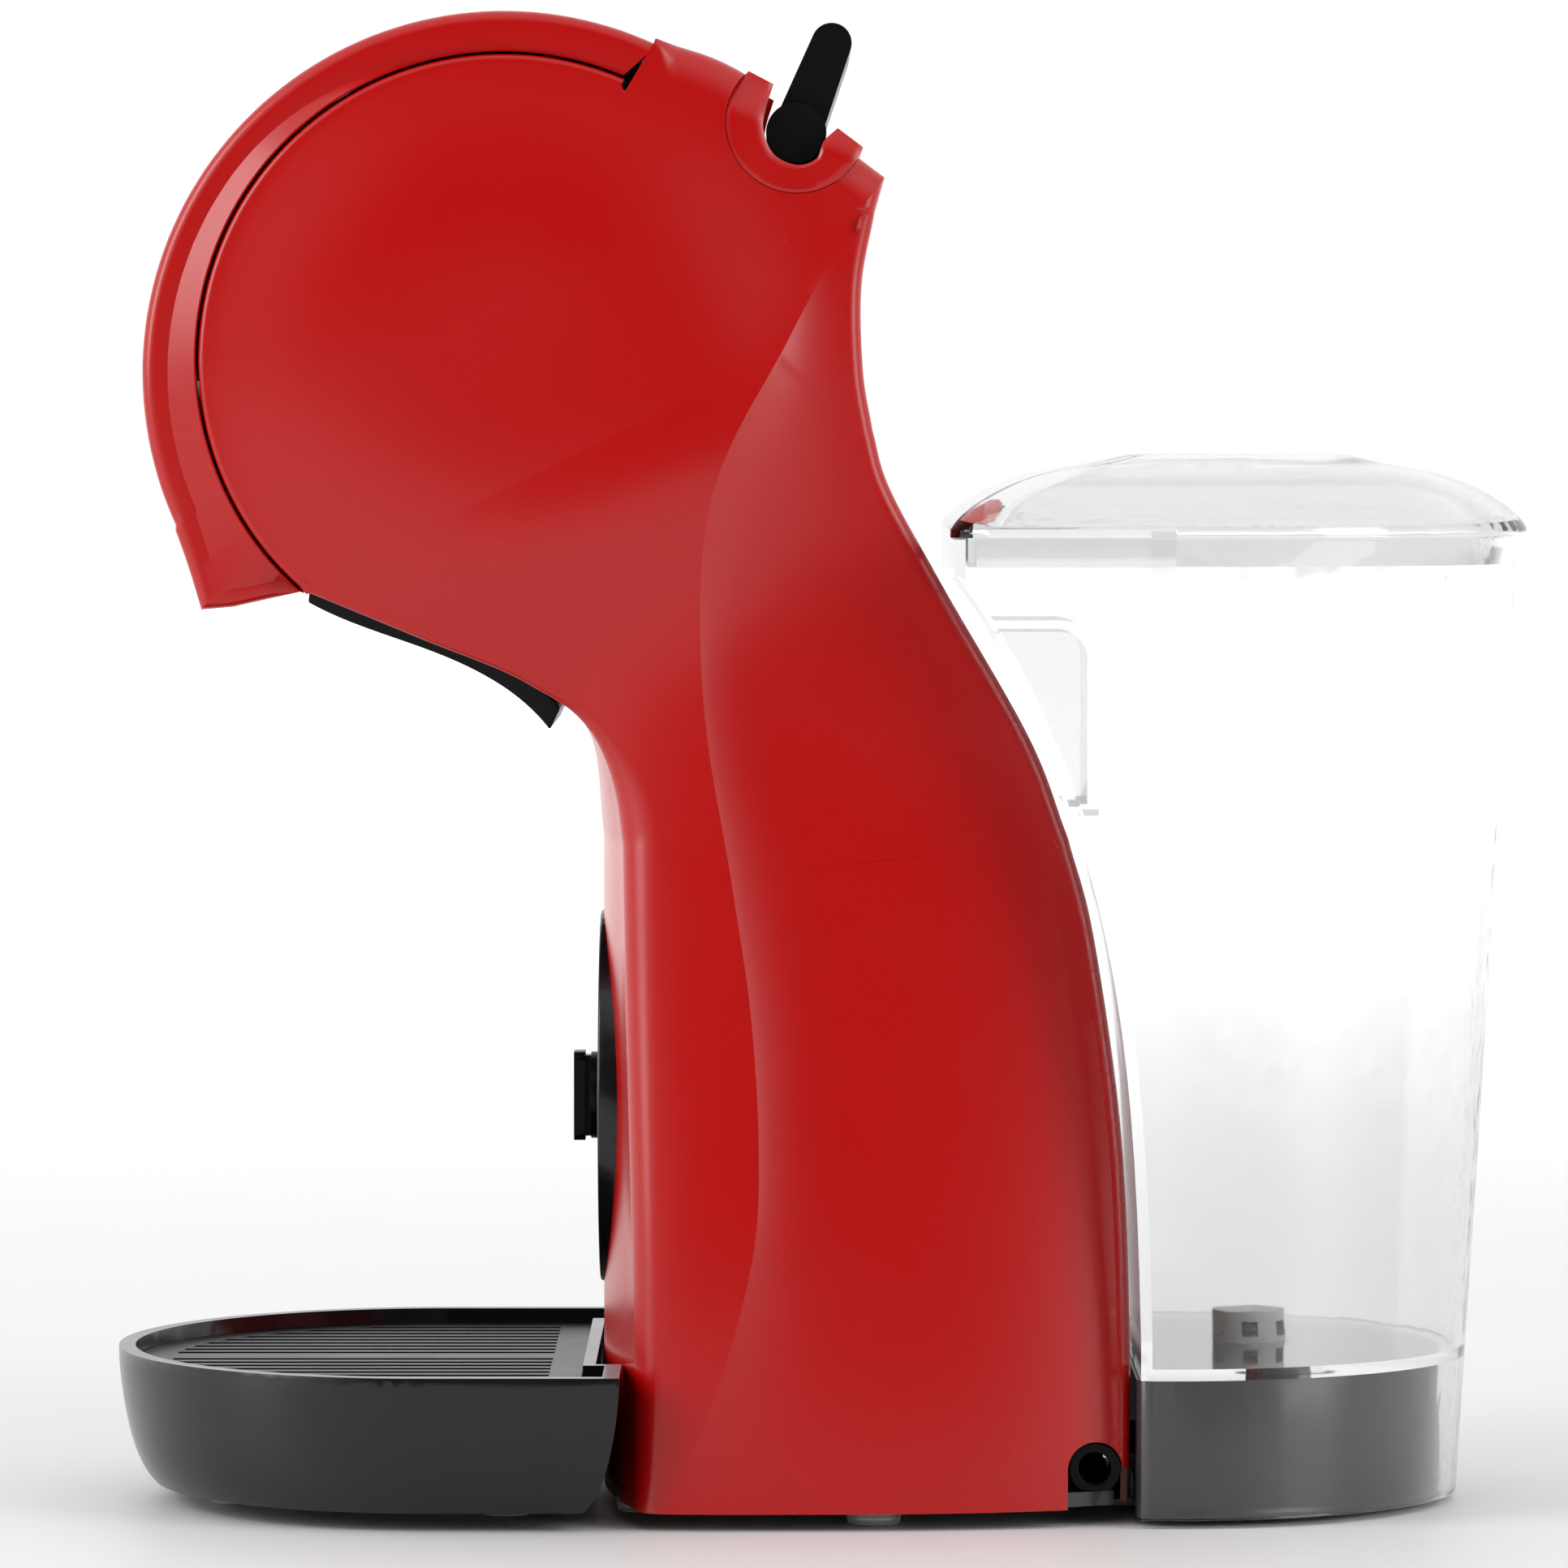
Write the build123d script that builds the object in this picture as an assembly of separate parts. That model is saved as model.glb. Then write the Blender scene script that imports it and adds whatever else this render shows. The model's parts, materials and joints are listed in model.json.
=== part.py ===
"""Capsule espresso machine, modelled as separate pieces in millimetres.

X is the width, Y runs from the drip tray (front, negative) to the water tank (back), Z is up.
The origin is on the table, under the middle of the machine's bounding box.
"""
from build123d import *
from math import asin, cos, degrees, exp, radians, sin
import os

# ---- driving dimensions -------------------------------------------------------------------
DEPTH = 272.0                       # drip tray front to tank lid back
BACK = DEPTH / 2
WALL = 2.6                          # moulded shell wall
GAP = 0.3                           # clearance between neighbouring pieces

HEAD_Y, HEAD_Z, HEAD_R = -60.0, 216.6, 68.2        # outer circle of the round head
CHEEK_Y, CHEEK_Z, CHEEK_R = -60.0, 219.2, 57.4     # edge of the domed side cheek
HOOD_HALF = 45.0                    # half width of the front hood
WINDOW_HALF = 31.2                  # half width of the opening in the hood's front

COLUMN_FRONT, COLUMN_FOOT = -42.1, 3.3             # column's front face and lower edge
PANEL_Z, PANEL_R, PANEL_FRONT = 77.5, 35.9, -42.7  # round control panel

PIVOT_Y, PIVOT_Z = -5.0, 262.0      # locking lever's pivot
LEVER_LEAN, LEVER_SWING = 21.5, 38.0               # degrees back from upright, and its travel
LEVER_HALF, HUB_HALF, HUB_R = 38.0, 40.0, 5.7      # paddle, hub
LEVER_REACH = 18.2                  # pivot to the centre of the lever's round tip
LEVER_BASE, LEVER_TIP = 4.7, 3.8    # half thickness of the paddle at its base and at its tip
PIN_HALF = 18.0                     # half length of the pivot pin
EAR_IN, EAR_OUT = 12.0, 15.0        # the saddle's two ears, which stand inside the hub
CRANK_R = 16.0                      # lever pivot to its crank pin
CRANK_START = -LEVER_SWING / 2      # crank pin's angle from straight down, at rest
ROD_LOW, ROD_HIGH = 242.2, 249.8
ARM_UP, ARM_FRONT = 20.0, 12.0      # bell crank's two arms
CRANK_PIN_R = 1.5
ARM_IN, ARM_OUT = 3.2, 6.2          # both cranks' arms stand beside the rod between these x

BREW_Y = -96.0                      # axis of the capsule and the injector
BELL_Y, BELL_Z = BREW_Y + 11.8, 226.85
GUIDE_X, GUIDE_Y = 20.0, BREW_Y - 5.0
INLET_X, INLET_Y = 12.0, BREW_Y - 3.0
SEAL_OUT, SEAL_IN = 16.5, 14.0      # sealing ring that presses on the capsule
HOLDER_LOW, HOLDER_HIGH, HOLDER_HALF = 200.0, 208.0, 30.7
FRAME_IN, FRAME_OUT = 33.0, 36.0    # side plates of the brew frame

TRAY_Y, TRAY_A, TRAY_B = -75.0, 61.0, 68.0         # tray plan: centre and half axes
TRAY_LOW, TRAY_HIGH = 3.5, 29.6
GRID_TOP = 26.8

TANK_LOW, TANK_TOP, TANK_FLOOR = 1.6, 185.6, 30.0
TANK_MID = 66.0                     # where the tank's straight sides turn into its round back
TANK_WALL = 2.2
OUTLET_Y = 82.7                     # tank outlet and stand nipple
STAND_TOP = 27.5


# ---- small helpers ------------------------------------------------------------------------
def box(x0, x1, y0, y1, z0, z1):
    """A block between two corners."""
    return Pos((x0 + x1) / 2, (y0 + y1) / 2, (z0 + z1) / 2) * Box(x1 - x0, y1 - y0, z1 - z0)


def rod_x(y, z, r, x0, x1):
    """A round bar along X."""
    return Pos((x0 + x1) / 2, y, z) * Rot(0, 90, 0) * Cylinder(r, x1 - x0)


def rod_y(x, z, r, y0, y1):
    """A round bar along Y."""
    return Pos(x, (y0 + y1) / 2, z) * Rot(90, 0, 0) * Cylinder(r, y1 - y0)


def rod_z(x, y, r, z0, z1):
    """A round bar along Z."""
    return Pos(x, y, (z0 + z1) / 2) * Cylinder(r, z1 - z0)


def side_face(*edges):
    """A face in the YZ plane from edges drawn with (y, z) points."""
    return Plane.YZ * make_face(Wire(list(edges)))


def side_poly(*points):
    """A polygon in the YZ plane."""
    return Plane.YZ * make_face(Polyline(*points, close=True))


def inset_face(face, amount):
    """The face moved inwards, with its free curves drawn again as splines."""
    edges = []
    for edge in offset(face, amount=-amount, kind=Kind.ARC).edges():
        if edge.geom_type not in (GeomType.LINE, GeomType.CIRCLE):
            edge = Spline([edge @ (i / 6) for i in range(7)], tangents=(edge % 0, edge % 1))
        edges.append(edge)
    return make_face(Wire(edges))


def across(face, x0, x1):
    """Extrudes a face of the YZ plane from x0 to x1."""
    return Pos(x0, 0, 0) * extrude(face, amount=x1 - x0, dir=(1, 0, 0))


def polar(y, z, r, degrees):
    """The point at r from (y, z); 0 degrees is +Y and 90 is up."""
    return (y + r * cos(radians(degrees)), z + r * sin(radians(degrees)))


def lean(r, degrees, y=PIVOT_Y, z=PIVOT_Z):
    """The point at r from a pivot, leaning back from straight up by some degrees."""
    return (y + r * sin(radians(degrees)), z + r * cos(radians(degrees)))


def smooth(t):
    t = min(1.0, max(0.0, t))
    return t * t * (3 - 2 * t)


def mirrored(shape):
    return mirror(shape, about=Plane.YZ)


def keep_biggest(shape):
    return max(shape.solids(), key=lambda solid: solid.volume)


def ring_z(x, y, r_out, r_in, z0, z1):
    return rod_z(x, y, r_out, z0, z1) - rod_z(x, y, r_in, z0 - 1, z1 + 1)


def save(shape, node):
    export_step(shape, f"parts/{node}.step")


# ---- side profiles ------------------------------------------------------------------------
STEP_OUT, STEP_IN = (-31.4, 279.6), (-37.2, 272.2)  # where the hood ends and the top band starts
LIP_REAR = (-97.5, 175.8)
LIP_TIP, LIP_HEEL, LIP_START = (-117.2, 172.2), (-111.2, 172.7), (-122.4, 188.2)
REAR_CORNER = (11.7, 253.6)
NECK_TOP, NECK_MID, NECK_LOW = (10.2, 249.0), (7.2, 228.0), (12.6, 195.1)
FLANK = [
    NECK_LOW, (22.8, 176.4), (39.0, 148.0), (51.2, 110.4),
    (56.4, 72.8), (57.9, 35.0), (57.6, COLUMN_FOOT),
]


def shell_outline():
    """Outline of a side shell: cheek, top band, neck, flank, foot, column front and throat."""
    front_of_cheek = (CHEEK_Y - CHEEK_R, CHEEK_Z)
    return side_face(
        Line(STEP_IN, STEP_OUT),
        ThreePointArc(STEP_OUT, (-14.6, 273.0), REAR_CORNER),
        Line(REAR_CORNER, NECK_TOP),
        ThreePointArc(NECK_TOP, NECK_MID, NECK_LOW),
        Spline(*FLANK),
        Line(FLANK[-1], (COLUMN_FRONT, COLUMN_FOOT)),
        Line((COLUMN_FRONT, COLUMN_FOOT), (COLUMN_FRONT, 128.0)),
        Spline((COLUMN_FRONT, 128.0), (-45.0, 148.8), (-56.0, 158.6), (-76.0, 167.0), LIP_REAR),
        ThreePointArc(LIP_REAR, front_of_cheek, STEP_IN),
    )


def head_outline():
    """The head's outer circle with the lip under its front, closed by a chord behind."""
    start = polar(HEAD_Y, HEAD_Z, HEAD_R, 64.5)
    top = (HEAD_Y, HEAD_Z + HEAD_R)
    front = (HEAD_Y - HEAD_R, HEAD_Z)
    return side_face(
        ThreePointArc(start, top, front),
        ThreePointArc(front, polar(HEAD_Y, HEAD_Z, HEAD_R, 192.5), LIP_START),
        Spline(LIP_START, (-119.8, 180.8), LIP_TIP),
        Line(LIP_TIP, LIP_HEEL),
        Line(LIP_HEEL, LIP_REAR),
        Line(LIP_REAR, start),
    )


def side_x(y, z):
    """Half width of the body at a point of the side view: a domed cheek over a flared column."""
    from_cheek = ((y - CHEEK_Y) ** 2 + (z - CHEEK_Z) ** 2) ** 0.5
    head = 53.0 - 9.0 * (1 - exp(-((from_cheek / 52.0) ** 4)))
    low = smooth((150.0 - z) / 150.0)
    flank = 47.0 + 14.0 * low - (10.0 + 10.0 * low) * ((max(y, -45.0) - 15.0) / 55.0) ** 2
    return head + (flank - head) * smooth((188.0 - z) / 75.0)


def under_side(inset=0.0):
    """Everything inside the left side surface, moved inwards by inset."""
    step = 12
    grid = [[(side_x(y, z) - inset, y, z) for z in range(-12, 301, step)] for y in range(-132, 85, step)]
    skin = Face.make_surface_from_array_of_points(grid)
    return Solid.extrude(skin, Vector(-120, 0, 0))


def half_body(inset=0.0):
    """The solid body's left half, inside its outer surface by inset."""
    outline = shell_outline()
    if inset:
        outline = inset_face(outline, inset)
    return across(outline, 0.05, 90.0) & under_side(inset)


# ---- shells, hood and other covers --------------------------------------------------------
SADDLE_Y, SADDLE_Z, SADDLE_R = -4.9, 263.8, 13.1
CHANNEL_Y, CHANNEL_Z, CHANNEL_R, CHANNEL_LEAN = -5.4, 263.2, 7.2, 32.0
NOTCH_Y, NOTCH_Z, NOTCH_R = 51.2, 10.7, 5.2        # cord notch in the left shell's rear foot
HOSE_Z = 11.0                       # height of the suction hose over the base
SPOUT_HOLE = 14.5


def make_side_shells(body, core):
    """Left and right moulded shells: the cheek, the top band and the column's flank."""
    shell = body - core
    shell -= under_side(WALL) & box(-1, 60, -140, -44.5, 140, 300)     # open inside the hood
    shell -= Pos(0, 0, -4) * (core & box(-1, 90, -80, 80, 6, 11))       # open below, over the base plate
    shell -= rod_x(SADDLE_Y, SADDLE_Z, SADDLE_R + GAP, -1, 90)
    shell -= rod_y(0, PANEL_Z, PANEL_R + GAP, COLUMN_FRONT - 5, -37)
    shell -= rod_y(0, HOSE_Z, 4.2, 50, 62)                              # suction hose
    notch = rod_x(NOTCH_Y, NOTCH_Z, NOTCH_R, 39.7, 90) + box(39.7, 90, NOTCH_Y - NOTCH_R, 70, 0, NOTCH_Z)
    return keep_biggest(shell - notch), mirrored(keep_biggest(shell))


def make_hood():
    """Front hood: an outer band with two side flanges and a window for the fascia and the holder."""
    outline = head_outline()
    inner = inset_face(outline, 2.8)
    hood = across(outline, -HOOD_HALF, HOOD_HALF) - across(inner, -HOOD_HALF + WALL, HOOD_HALF - WALL)
    hood -= rod_x(CHEEK_Y, CHEEK_Z, CHEEK_R + 0.5, -60, 60)
    behind_step = side_poly((-40, 268), STEP_IN, (STEP_OUT[0] - GAP, STEP_OUT[1]), (-20, 284), (-20, 240))
    hood -= across(behind_step, -60, 60)
    hood -= box(-WINDOW_HALF, WINDOW_HALF, -140, -94, 185.6, 290)
    hood -= rod_z(0, BREW_Y, SPOUT_HOLE, 160, 185)
    return keep_biggest(hood)


def head_band(r_out, r_in, low, high, half):
    """A strip of the head's circle between two angles in degrees."""
    face = side_face(
        CenterArc((HEAD_Y, HEAD_Z), r_out, low, high - low),
        Line(polar(HEAD_Y, HEAD_Z, r_out, high), polar(HEAD_Y, HEAD_Z, r_in, high)),
        CenterArc((HEAD_Y, HEAD_Z), r_in, low, high - low),
        Line(polar(HEAD_Y, HEAD_Z, r_in, low), polar(HEAD_Y, HEAD_Z, r_out, low)),
    )
    return across(face, -half, half)


def make_fascia():
    """Gloss strip that fills the hood's window above the capsule holder."""
    fascia = head_band(HEAD_R - 1.0, HEAD_R - 3.0, 121.8, 180.6, WINDOW_HALF - GAP)
    lug = box(-20, 20, -92, -88.5, 262.5, 268)
    return fascia - lug


UNDER_LOW = [(-97.0, 173.6), (-85.7, 168.6), (-73.9, 164.4), (-62.2, 158.8), (-51.6, 149.4)]


def make_underside():
    """Cover under the head, ending in a drip guard in front of the column."""
    face = side_face(
        Spline(*UNDER_LOW),
        Line(UNDER_LOW[-1], (-49.6, 153.6)),
        Spline((-49.6, 153.6), (-60.5, 162.4), (-73.4, 167.4), (-96.6, 176.6)),
        Line((-96.6, 176.6), UNDER_LOW[0]),
    )
    inside = under_side(WALL + GAP)
    cover = across(face, -50.0, 50.0) & inside & mirrored(inside)
    return cover - rod_z(0, BREW_Y, SPOUT_HOLE, 150, 200)


def make_lever_saddle(body):
    """U-shaped channel across the head that carries the lever's pivot."""
    both = body + mirrored(body) + box(-1, 1, -20, 9, 240, 266)
    saddle = both & rod_x(SADDLE_Y, SADDLE_Z, SADDLE_R, -60, 60)
    slant = [lean(CHANNEL_R, CHANNEL_LEAN + a, CHANNEL_Y, CHANNEL_Z) for a in (-90, 90)]
    mouth = [lean(30, CHANNEL_LEAN, *point) for point in slant]
    saddle -= rod_x(CHANNEL_Y, CHANNEL_Z, CHANNEL_R, -60, 60)
    saddle -= across(side_poly(slant[0], mouth[0], mouth[1], slant[1]), -60, 60)
    front, back = LEVER_LEAN - LEVER_SWING, LEVER_LEAN
    low_front, low_back = lean(LEVER_BASE + 0.7, front - 90), lean(LEVER_BASE + 0.7, back + 90)
    swept = side_poly(low_front, lean(30, front, *low_front), lean(30, back, *low_back), low_back)
    saddle -= across(swept, -LEVER_HALF - 1.6, LEVER_HALF + 1.6)
    saddle -= box(2.6, 6.8, -17, 7, 247, 262)
    for side in (-1, 1):
        x0, x1 = sorted((side * EAR_IN, side * EAR_OUT))
        saddle += rod_x(PIVOT_Y, PIVOT_Z, 4.4, x0, x1)
        saddle += box(x0, x1, PIVOT_Y - 4, PIVOT_Y + 4, PIVOT_Z - 7.5, PIVOT_Z)
    saddle -= rod_x(PIVOT_Y, PIVOT_Z, 2.0, -PIN_HALF, PIN_HALF)
    return keep_biggest(saddle)


# ---- locking lever and the linkage to the injector ----------------------------------------
def crank_pin(turn=0.0):
    """Where the lever's crank pin is when the lever has turned forward by some degrees."""
    a = radians(CRANK_START + turn)
    return (PIVOT_Y + CRANK_R * sin(a), PIVOT_Z - CRANK_R * cos(a))


def make_paddle():
    """The lever's flat bar without its round tip, leaning back."""
    tip = lean(LEVER_REACH, LEVER_LEAN)
    return across(side_poly(
        lean(LEVER_BASE, LEVER_LEAN - 90), lean(LEVER_TIP, LEVER_LEAN - 90, *tip),
        lean(LEVER_TIP, LEVER_LEAN + 90, *tip), lean(LEVER_BASE, LEVER_LEAN + 90),
    ), -LEVER_HALF, LEVER_HALF)


def make_lever():
    """Paddle, hub and crank in one moulding, leaning back in its locked place."""
    tip = lean(LEVER_REACH, LEVER_LEAN)
    lever = make_paddle() + rod_x(*tip, LEVER_TIP, -LEVER_HALF, LEVER_HALF)
    lever += rod_x(PIVOT_Y, PIVOT_Z, HUB_R, -HUB_HALF, HUB_HALF)
    for side in (-1, 1):
        x0, x1 = sorted((side * (EAR_IN - GAP), side * (EAR_OUT + GAP)))
        lever -= rod_x(PIVOT_Y, PIVOT_Z, HUB_R + 0.2, x0, x1)
    pin = crank_pin()
    web = side_poly(
        (PIVOT_Y - 3, PIVOT_Z), (pin[0] - 2.6, pin[1]),
        (pin[0] + 2.6, pin[1]), (PIVOT_Y + 3, PIVOT_Z))
    lever += across(web, ARM_IN, ARM_OUT) + rod_x(*pin, 2.6, ARM_IN, ARM_OUT)
    lever += rod_x(*pin, CRANK_PIN_R, -3.0, ARM_OUT)
    lever -= rod_x(PIVOT_Y, PIVOT_Z, 2.06, -PIN_HALF - GAP, PIN_HALF + GAP)
    low, high = lean(10.5, LEVER_LEAN), lean(17.0, LEVER_LEAN)
    seat = across(side_poly(*mark_corners(low, high)), -9.0, 9.0)
    return lever - seat, seat


def mark_corners(low, high):
    """Corners of the shallow inlay on the lever's front face."""
    out, deep = 4.6, 3.3
    return [
        lean(out, LEVER_LEAN - 90, *low), lean(out, LEVER_LEAN - 90, *high),
        lean(deep, LEVER_LEAN - 90, *high), lean(deep, LEVER_LEAN - 90, *low),
    ]


def bell_swing():
    """Half of the bell crank's travel in degrees, from the rod's stroke."""
    stroke = crank_pin(LEVER_SWING)[0] - crank_pin()[0]
    return degrees(asin(stroke / 2 / ARM_UP))


def make_lock_rod():
    """Flat push rod with an upright slot at each end."""
    pin_rear, pin_front = crank_pin()[0], BELL_Y - ARM_UP * sin(radians(bell_swing()))
    rod = box(-2.5, 2.5, pin_front - 4.5, pin_rear + 4.5, ROD_LOW, ROD_HIGH)
    for y in (pin_rear, pin_front):
        rod -= box(-3, 3, y - CRANK_PIN_R - 0.15, y + CRANK_PIN_R + 0.15, 244.3, 248.6)
    return rod


def make_bell_crank():
    """Bell crank beside the rod: its upper pin follows the rod and its front pin lifts the injector."""
    a = radians(bell_swing())
    up = (BELL_Y - ARM_UP * sin(a), BELL_Z + ARM_UP * cos(a))
    front = (BELL_Y - ARM_FRONT * cos(a), BELL_Z - ARM_FRONT * sin(a))
    crank = rod_x(BELL_Y, BELL_Z, 4.5, ARM_IN, ARM_OUT)
    for y, z in (up, front):
        dy, dz = y - BELL_Y, z - BELL_Z
        n = (dy * dy + dz * dz) ** 0.5
        ny, nz = -dz / n, dy / n
        crank += across(side_poly(
            (BELL_Y + 4 * ny, BELL_Z + 4 * nz), (y + 2.4 * ny, z + 2.4 * nz),
            (y - 2.4 * ny, z - 2.4 * nz), (BELL_Y - 4 * ny, BELL_Z - 4 * nz)), ARM_IN, ARM_OUT)
        crank += rod_x(y, z, 2.4, ARM_IN, ARM_OUT) + rod_x(y, z, CRANK_PIN_R, -3.0, ARM_OUT)
    return crank - rod_x(BELL_Y, BELL_Z, 2.06, -10, 10)


def make_injector():
    """Injector carriage, its hollow needle and its sealing ring."""
    pin_z = BELL_Z - ARM_FRONT * sin(radians(bell_swing()))
    plate = rod_z(0, BREW_Y, 24.6, 211.5, 215.5)
    carriage = plate + rod_z(0, BREW_Y, 6.0, 215.5, 218.0)
    carriage += box(-2.5, 2.5, BREW_Y - 6.5, BREW_Y + 4.5, 217.0, pin_z + 4.0)
    carriage -= box(-3, 3, BREW_Y - 2.6, BREW_Y + 2.6, pin_z - CRANK_PIN_R - 0.15, pin_z + CRANK_PIN_R + 0.15)
    for x in (-GUIDE_X, GUIDE_X):
        carriage += rod_z(x, GUIDE_Y, 5.0, 211.5, 219.0)
        carriage -= rod_z(x, GUIDE_Y, 2.56, 205, 225)
    carriage += rod_z(INLET_X, INLET_Y, 4.2, 211.5, 226.0)
    carriage -= rod_z(INLET_X, INLET_Y, 2.06, 213.0, 230.0) + rod_x(INLET_Y + 3, 213.8, 0.7, 0, INLET_X)
    carriage -= rod_z(0, BREW_Y, 1.5, 205, 216.6)
    carriage -= ring_z(0, BREW_Y, SEAL_OUT + 0.1, SEAL_IN - 0.1, 210.5, 212.5)
    needle = ring_z(0, BREW_Y, 1.5, 0.6, 208.9, 216.6)
    seal = ring_z(0, BREW_Y, SEAL_OUT, SEAL_IN, 210.9, 212.5)
    return carriage, needle, seal


def make_injector_inlet():
    """Fixed tube that slides in the carriage's boss as the injector rises."""
    tube = rod_z(INLET_X, INLET_Y, 2.0, 219.5, 239.0) + rod_z(INLET_X, INLET_Y, SPIGOT, 239.0, 242.5)
    tube += rod_z(INLET_X, INLET_Y, 3.6, 237.8, 239.0)
    return tube - rod_z(INLET_X, INLET_Y, 0.9, 200, 250)


def make_guide_rods():
    rods = [rod_z(x, GUIDE_Y, 2.5, 210.4, 237.8) for x in (-GUIDE_X, GUIDE_X)]
    return Compound(rods)


def make_brew_frame():
    """Frame that carries the holder's rails, the injector guides, the bell crank and the rod guide."""
    frame = None
    for side in (-1, 1):
        x0, x1 = sorted((side * FRAME_IN, side * FRAME_OUT))
        plate = box(x0, x1, -115, -48, 192, 250) & rod_x(HEAD_Y, HEAD_Z, 64.5, -60, 60)
        r0, r1 = sorted((side * 28.4, side * FRAME_IN))
        plate += box(r0, r1, -110, -62, HOLDER_LOW - 3.3, HOLDER_LOW - 0.3)
        plate += box(r0, r1, -110, -62, HOLDER_HIGH + 0.3, HOLDER_HIGH + 2.8)
        frame = plate if frame is None else frame + plate
    frame += box(-FRAME_OUT, FRAME_OUT, -51, -48, 192, 239)          # rear wall
    frame += box(-FRAME_OUT, FRAME_OUT, -106, -94, 233.8, 237.8)     # bridge over the injector
    frame -= box(-3.2, 6.8, -104, -90, 230, 240) + rod_z(INLET_X, INLET_Y, 2.06, 230, 240)
    frame += box(-FRAME_OUT, FRAME_OUT, -66, -48, 252.2, 255.2)      # tie over the rod
    frame += box(-FRAME_OUT, -FRAME_IN, -66, -48, 248, 255.2) + box(FRAME_IN, FRAME_OUT, -66, -48, 248, 255.2)
    guide = box(-8, 8, -62, -54, 239, 253) - box(-2.8, 2.8, -70, -40, ROD_LOW - 0.3, ROD_HIGH + 0.3)
    frame += guide
    for x in (-GUIDE_X, GUIDE_X):
        frame -= rod_z(x, GUIDE_Y, 2.5, 230, 240)
    frame -= rod_x(BELL_Y, BELL_Z, 2.0, -FRAME_OUT, FRAME_OUT)
    return frame


def make_capsule_holder():
    """Sliding drawer with a round seat for one capsule, and its curved front face."""
    plate = box(-HOLDER_HALF, HOLDER_HALF, -124.5, -72, HOLDER_LOW, HOLDER_HIGH)
    plate += rod_z(0, BREW_Y + 3.5, HOLDER_HALF, HOLDER_LOW, HOLDER_HIGH) & box(-40, 40, -80, -58, 190, 220)
    plate -= rod_z(0, BREW_Y, 25.2, 190, 220)
    plate -= rod_z(0, BREW_Y, 27.4, HOLDER_HIGH - 1.6, 220)
    collar = ring_z(0, BREW_Y, 27.4, 25.2, 192.0, HOLDER_LOW)
    holder = plate + collar
    face = head_band(HEAD_R - 0.8, HEAD_R - 3.2, 181.6, 207.0, WINDOW_HALF - 0.5)
    scoop = head_band(HEAD_R + 1, HEAD_R - 2.0, 196.0, 203.5, 15.0)
    return holder - face, face - scoop


# ---- control panel ------------------------------------------------------------------------
BUTTON_Z, LENS_Z = PANEL_Z + 24.5, PANEL_Z - 24.0
VALVE_PORT, VALVE_Y = 7.0, -20.5                   # hose ports on top of the selector valve


def make_panel():
    """Flat round panel with seats for the knob's spindle, the button and the light."""
    panel = rod_y(0, PANEL_Z, PANEL_R, PANEL_FRONT, -37.3)
    panel -= rod_y(0, PANEL_Z, 4.1, -50, -30)
    panel -= rod_y(0, BUTTON_Z, 5.8, -50, -30)
    panel -= rod_y(0, LENS_Z, 2.0, -50, -30)
    groove = rod_y(0, PANEL_Z, 14.5, -50, PANEL_FRONT + 0.5) - rod_y(0, PANEL_Z, 13.7, -50, -30)
    return panel - groove


def make_knob():
    """Selector knob: a round base with an upright finger bar."""
    knob = rod_y(0, PANEL_Z, 8.4, PANEL_FRONT - 1.9, PANEL_FRONT - GAP)
    knob += box(-2.2, 2.2, PANEL_FRONT - 3.4, PANEL_FRONT - 1.0, PANEL_Z - 7.8, PANEL_Z + 7.8)
    bar = box(-4.2, 4.2, -47.9, PANEL_FRONT - 3.0, PANEL_Z - 8.6, PANEL_Z + 8.6)
    knob += fillet(bar.edges().filter_by(Axis.Y), 1.6)
    return knob - rod_y(0, PANEL_Z, 4.05, PANEL_FRONT - 1.4, -30)


def make_selector_valve():
    """Water selector behind the panel: a block with a bored seat for the spindle."""
    block = box(-15, 15, -33, -8, PANEL_Z - 17, PANEL_Z + 17)
    block += rod_y(0, PANEL_Z, 7.0, -36.8, -33)
    block -= rod_y(0, PANEL_Z, 4.06, -40, -12)
    top = PANEL_Z + 17
    for x in (-VALVE_PORT, VALVE_PORT):
        block += rod_z(x, VALVE_Y, SPIGOT, top, top + 8) - rod_z(x, VALVE_Y, 0.9, top, top + 9)
    return block


def make_spindle():
    flat = box(-5, 5, -26, -22, PANEL_Z + 2.2, PANEL_Z + 5)
    return rod_y(0, PANEL_Z, 4.0, PANEL_FRONT - 1.35, -12.4) - flat


def make_button():
    """Power button with a retaining shoulder behind the panel."""
    button = rod_y(0, BUTTON_Z, 5.55, PANEL_FRONT - 0.15, -37.0)
    return button + rod_y(0, BUTTON_Z, 7.0, -37.0, -35.6)


def make_board():
    """Control board with its switch and a few parts."""
    board = box(-26, 26, -31.0, -29.4, 99.5, 134)
    board += box(-6, 6, -33.0, -31.0, BUTTON_Z - 2.2, BUTTON_Z + 4) + box(-25, -13, -29.4, -19, 114, 130)
    return board + box(13, 25, -29.4, -22, 110, 118)


def make_button_spring():
    spring = coil_spring(0, 0, 4.4, 0.6, 33.3, 35.4, 1.5)
    return Pos(0, 0, BUTTON_Z) * Rot(90, 0, 0) * spring


# ---- pump, heater and hoses ---------------------------------------------------------------
PUMP_X, PUMP_Y = 0.0, 26.0
PUMP_LOW, PUMP_HIGH = 22.0, 96.0
SPIGOT, HOSE_IN, HOSE_OUT = 1.85, 1.9, 3.2         # hose fittings
HEATER_IN, HEATER_OUT = (-14, -14), (12, -32)      # the heater's two spigots


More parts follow.
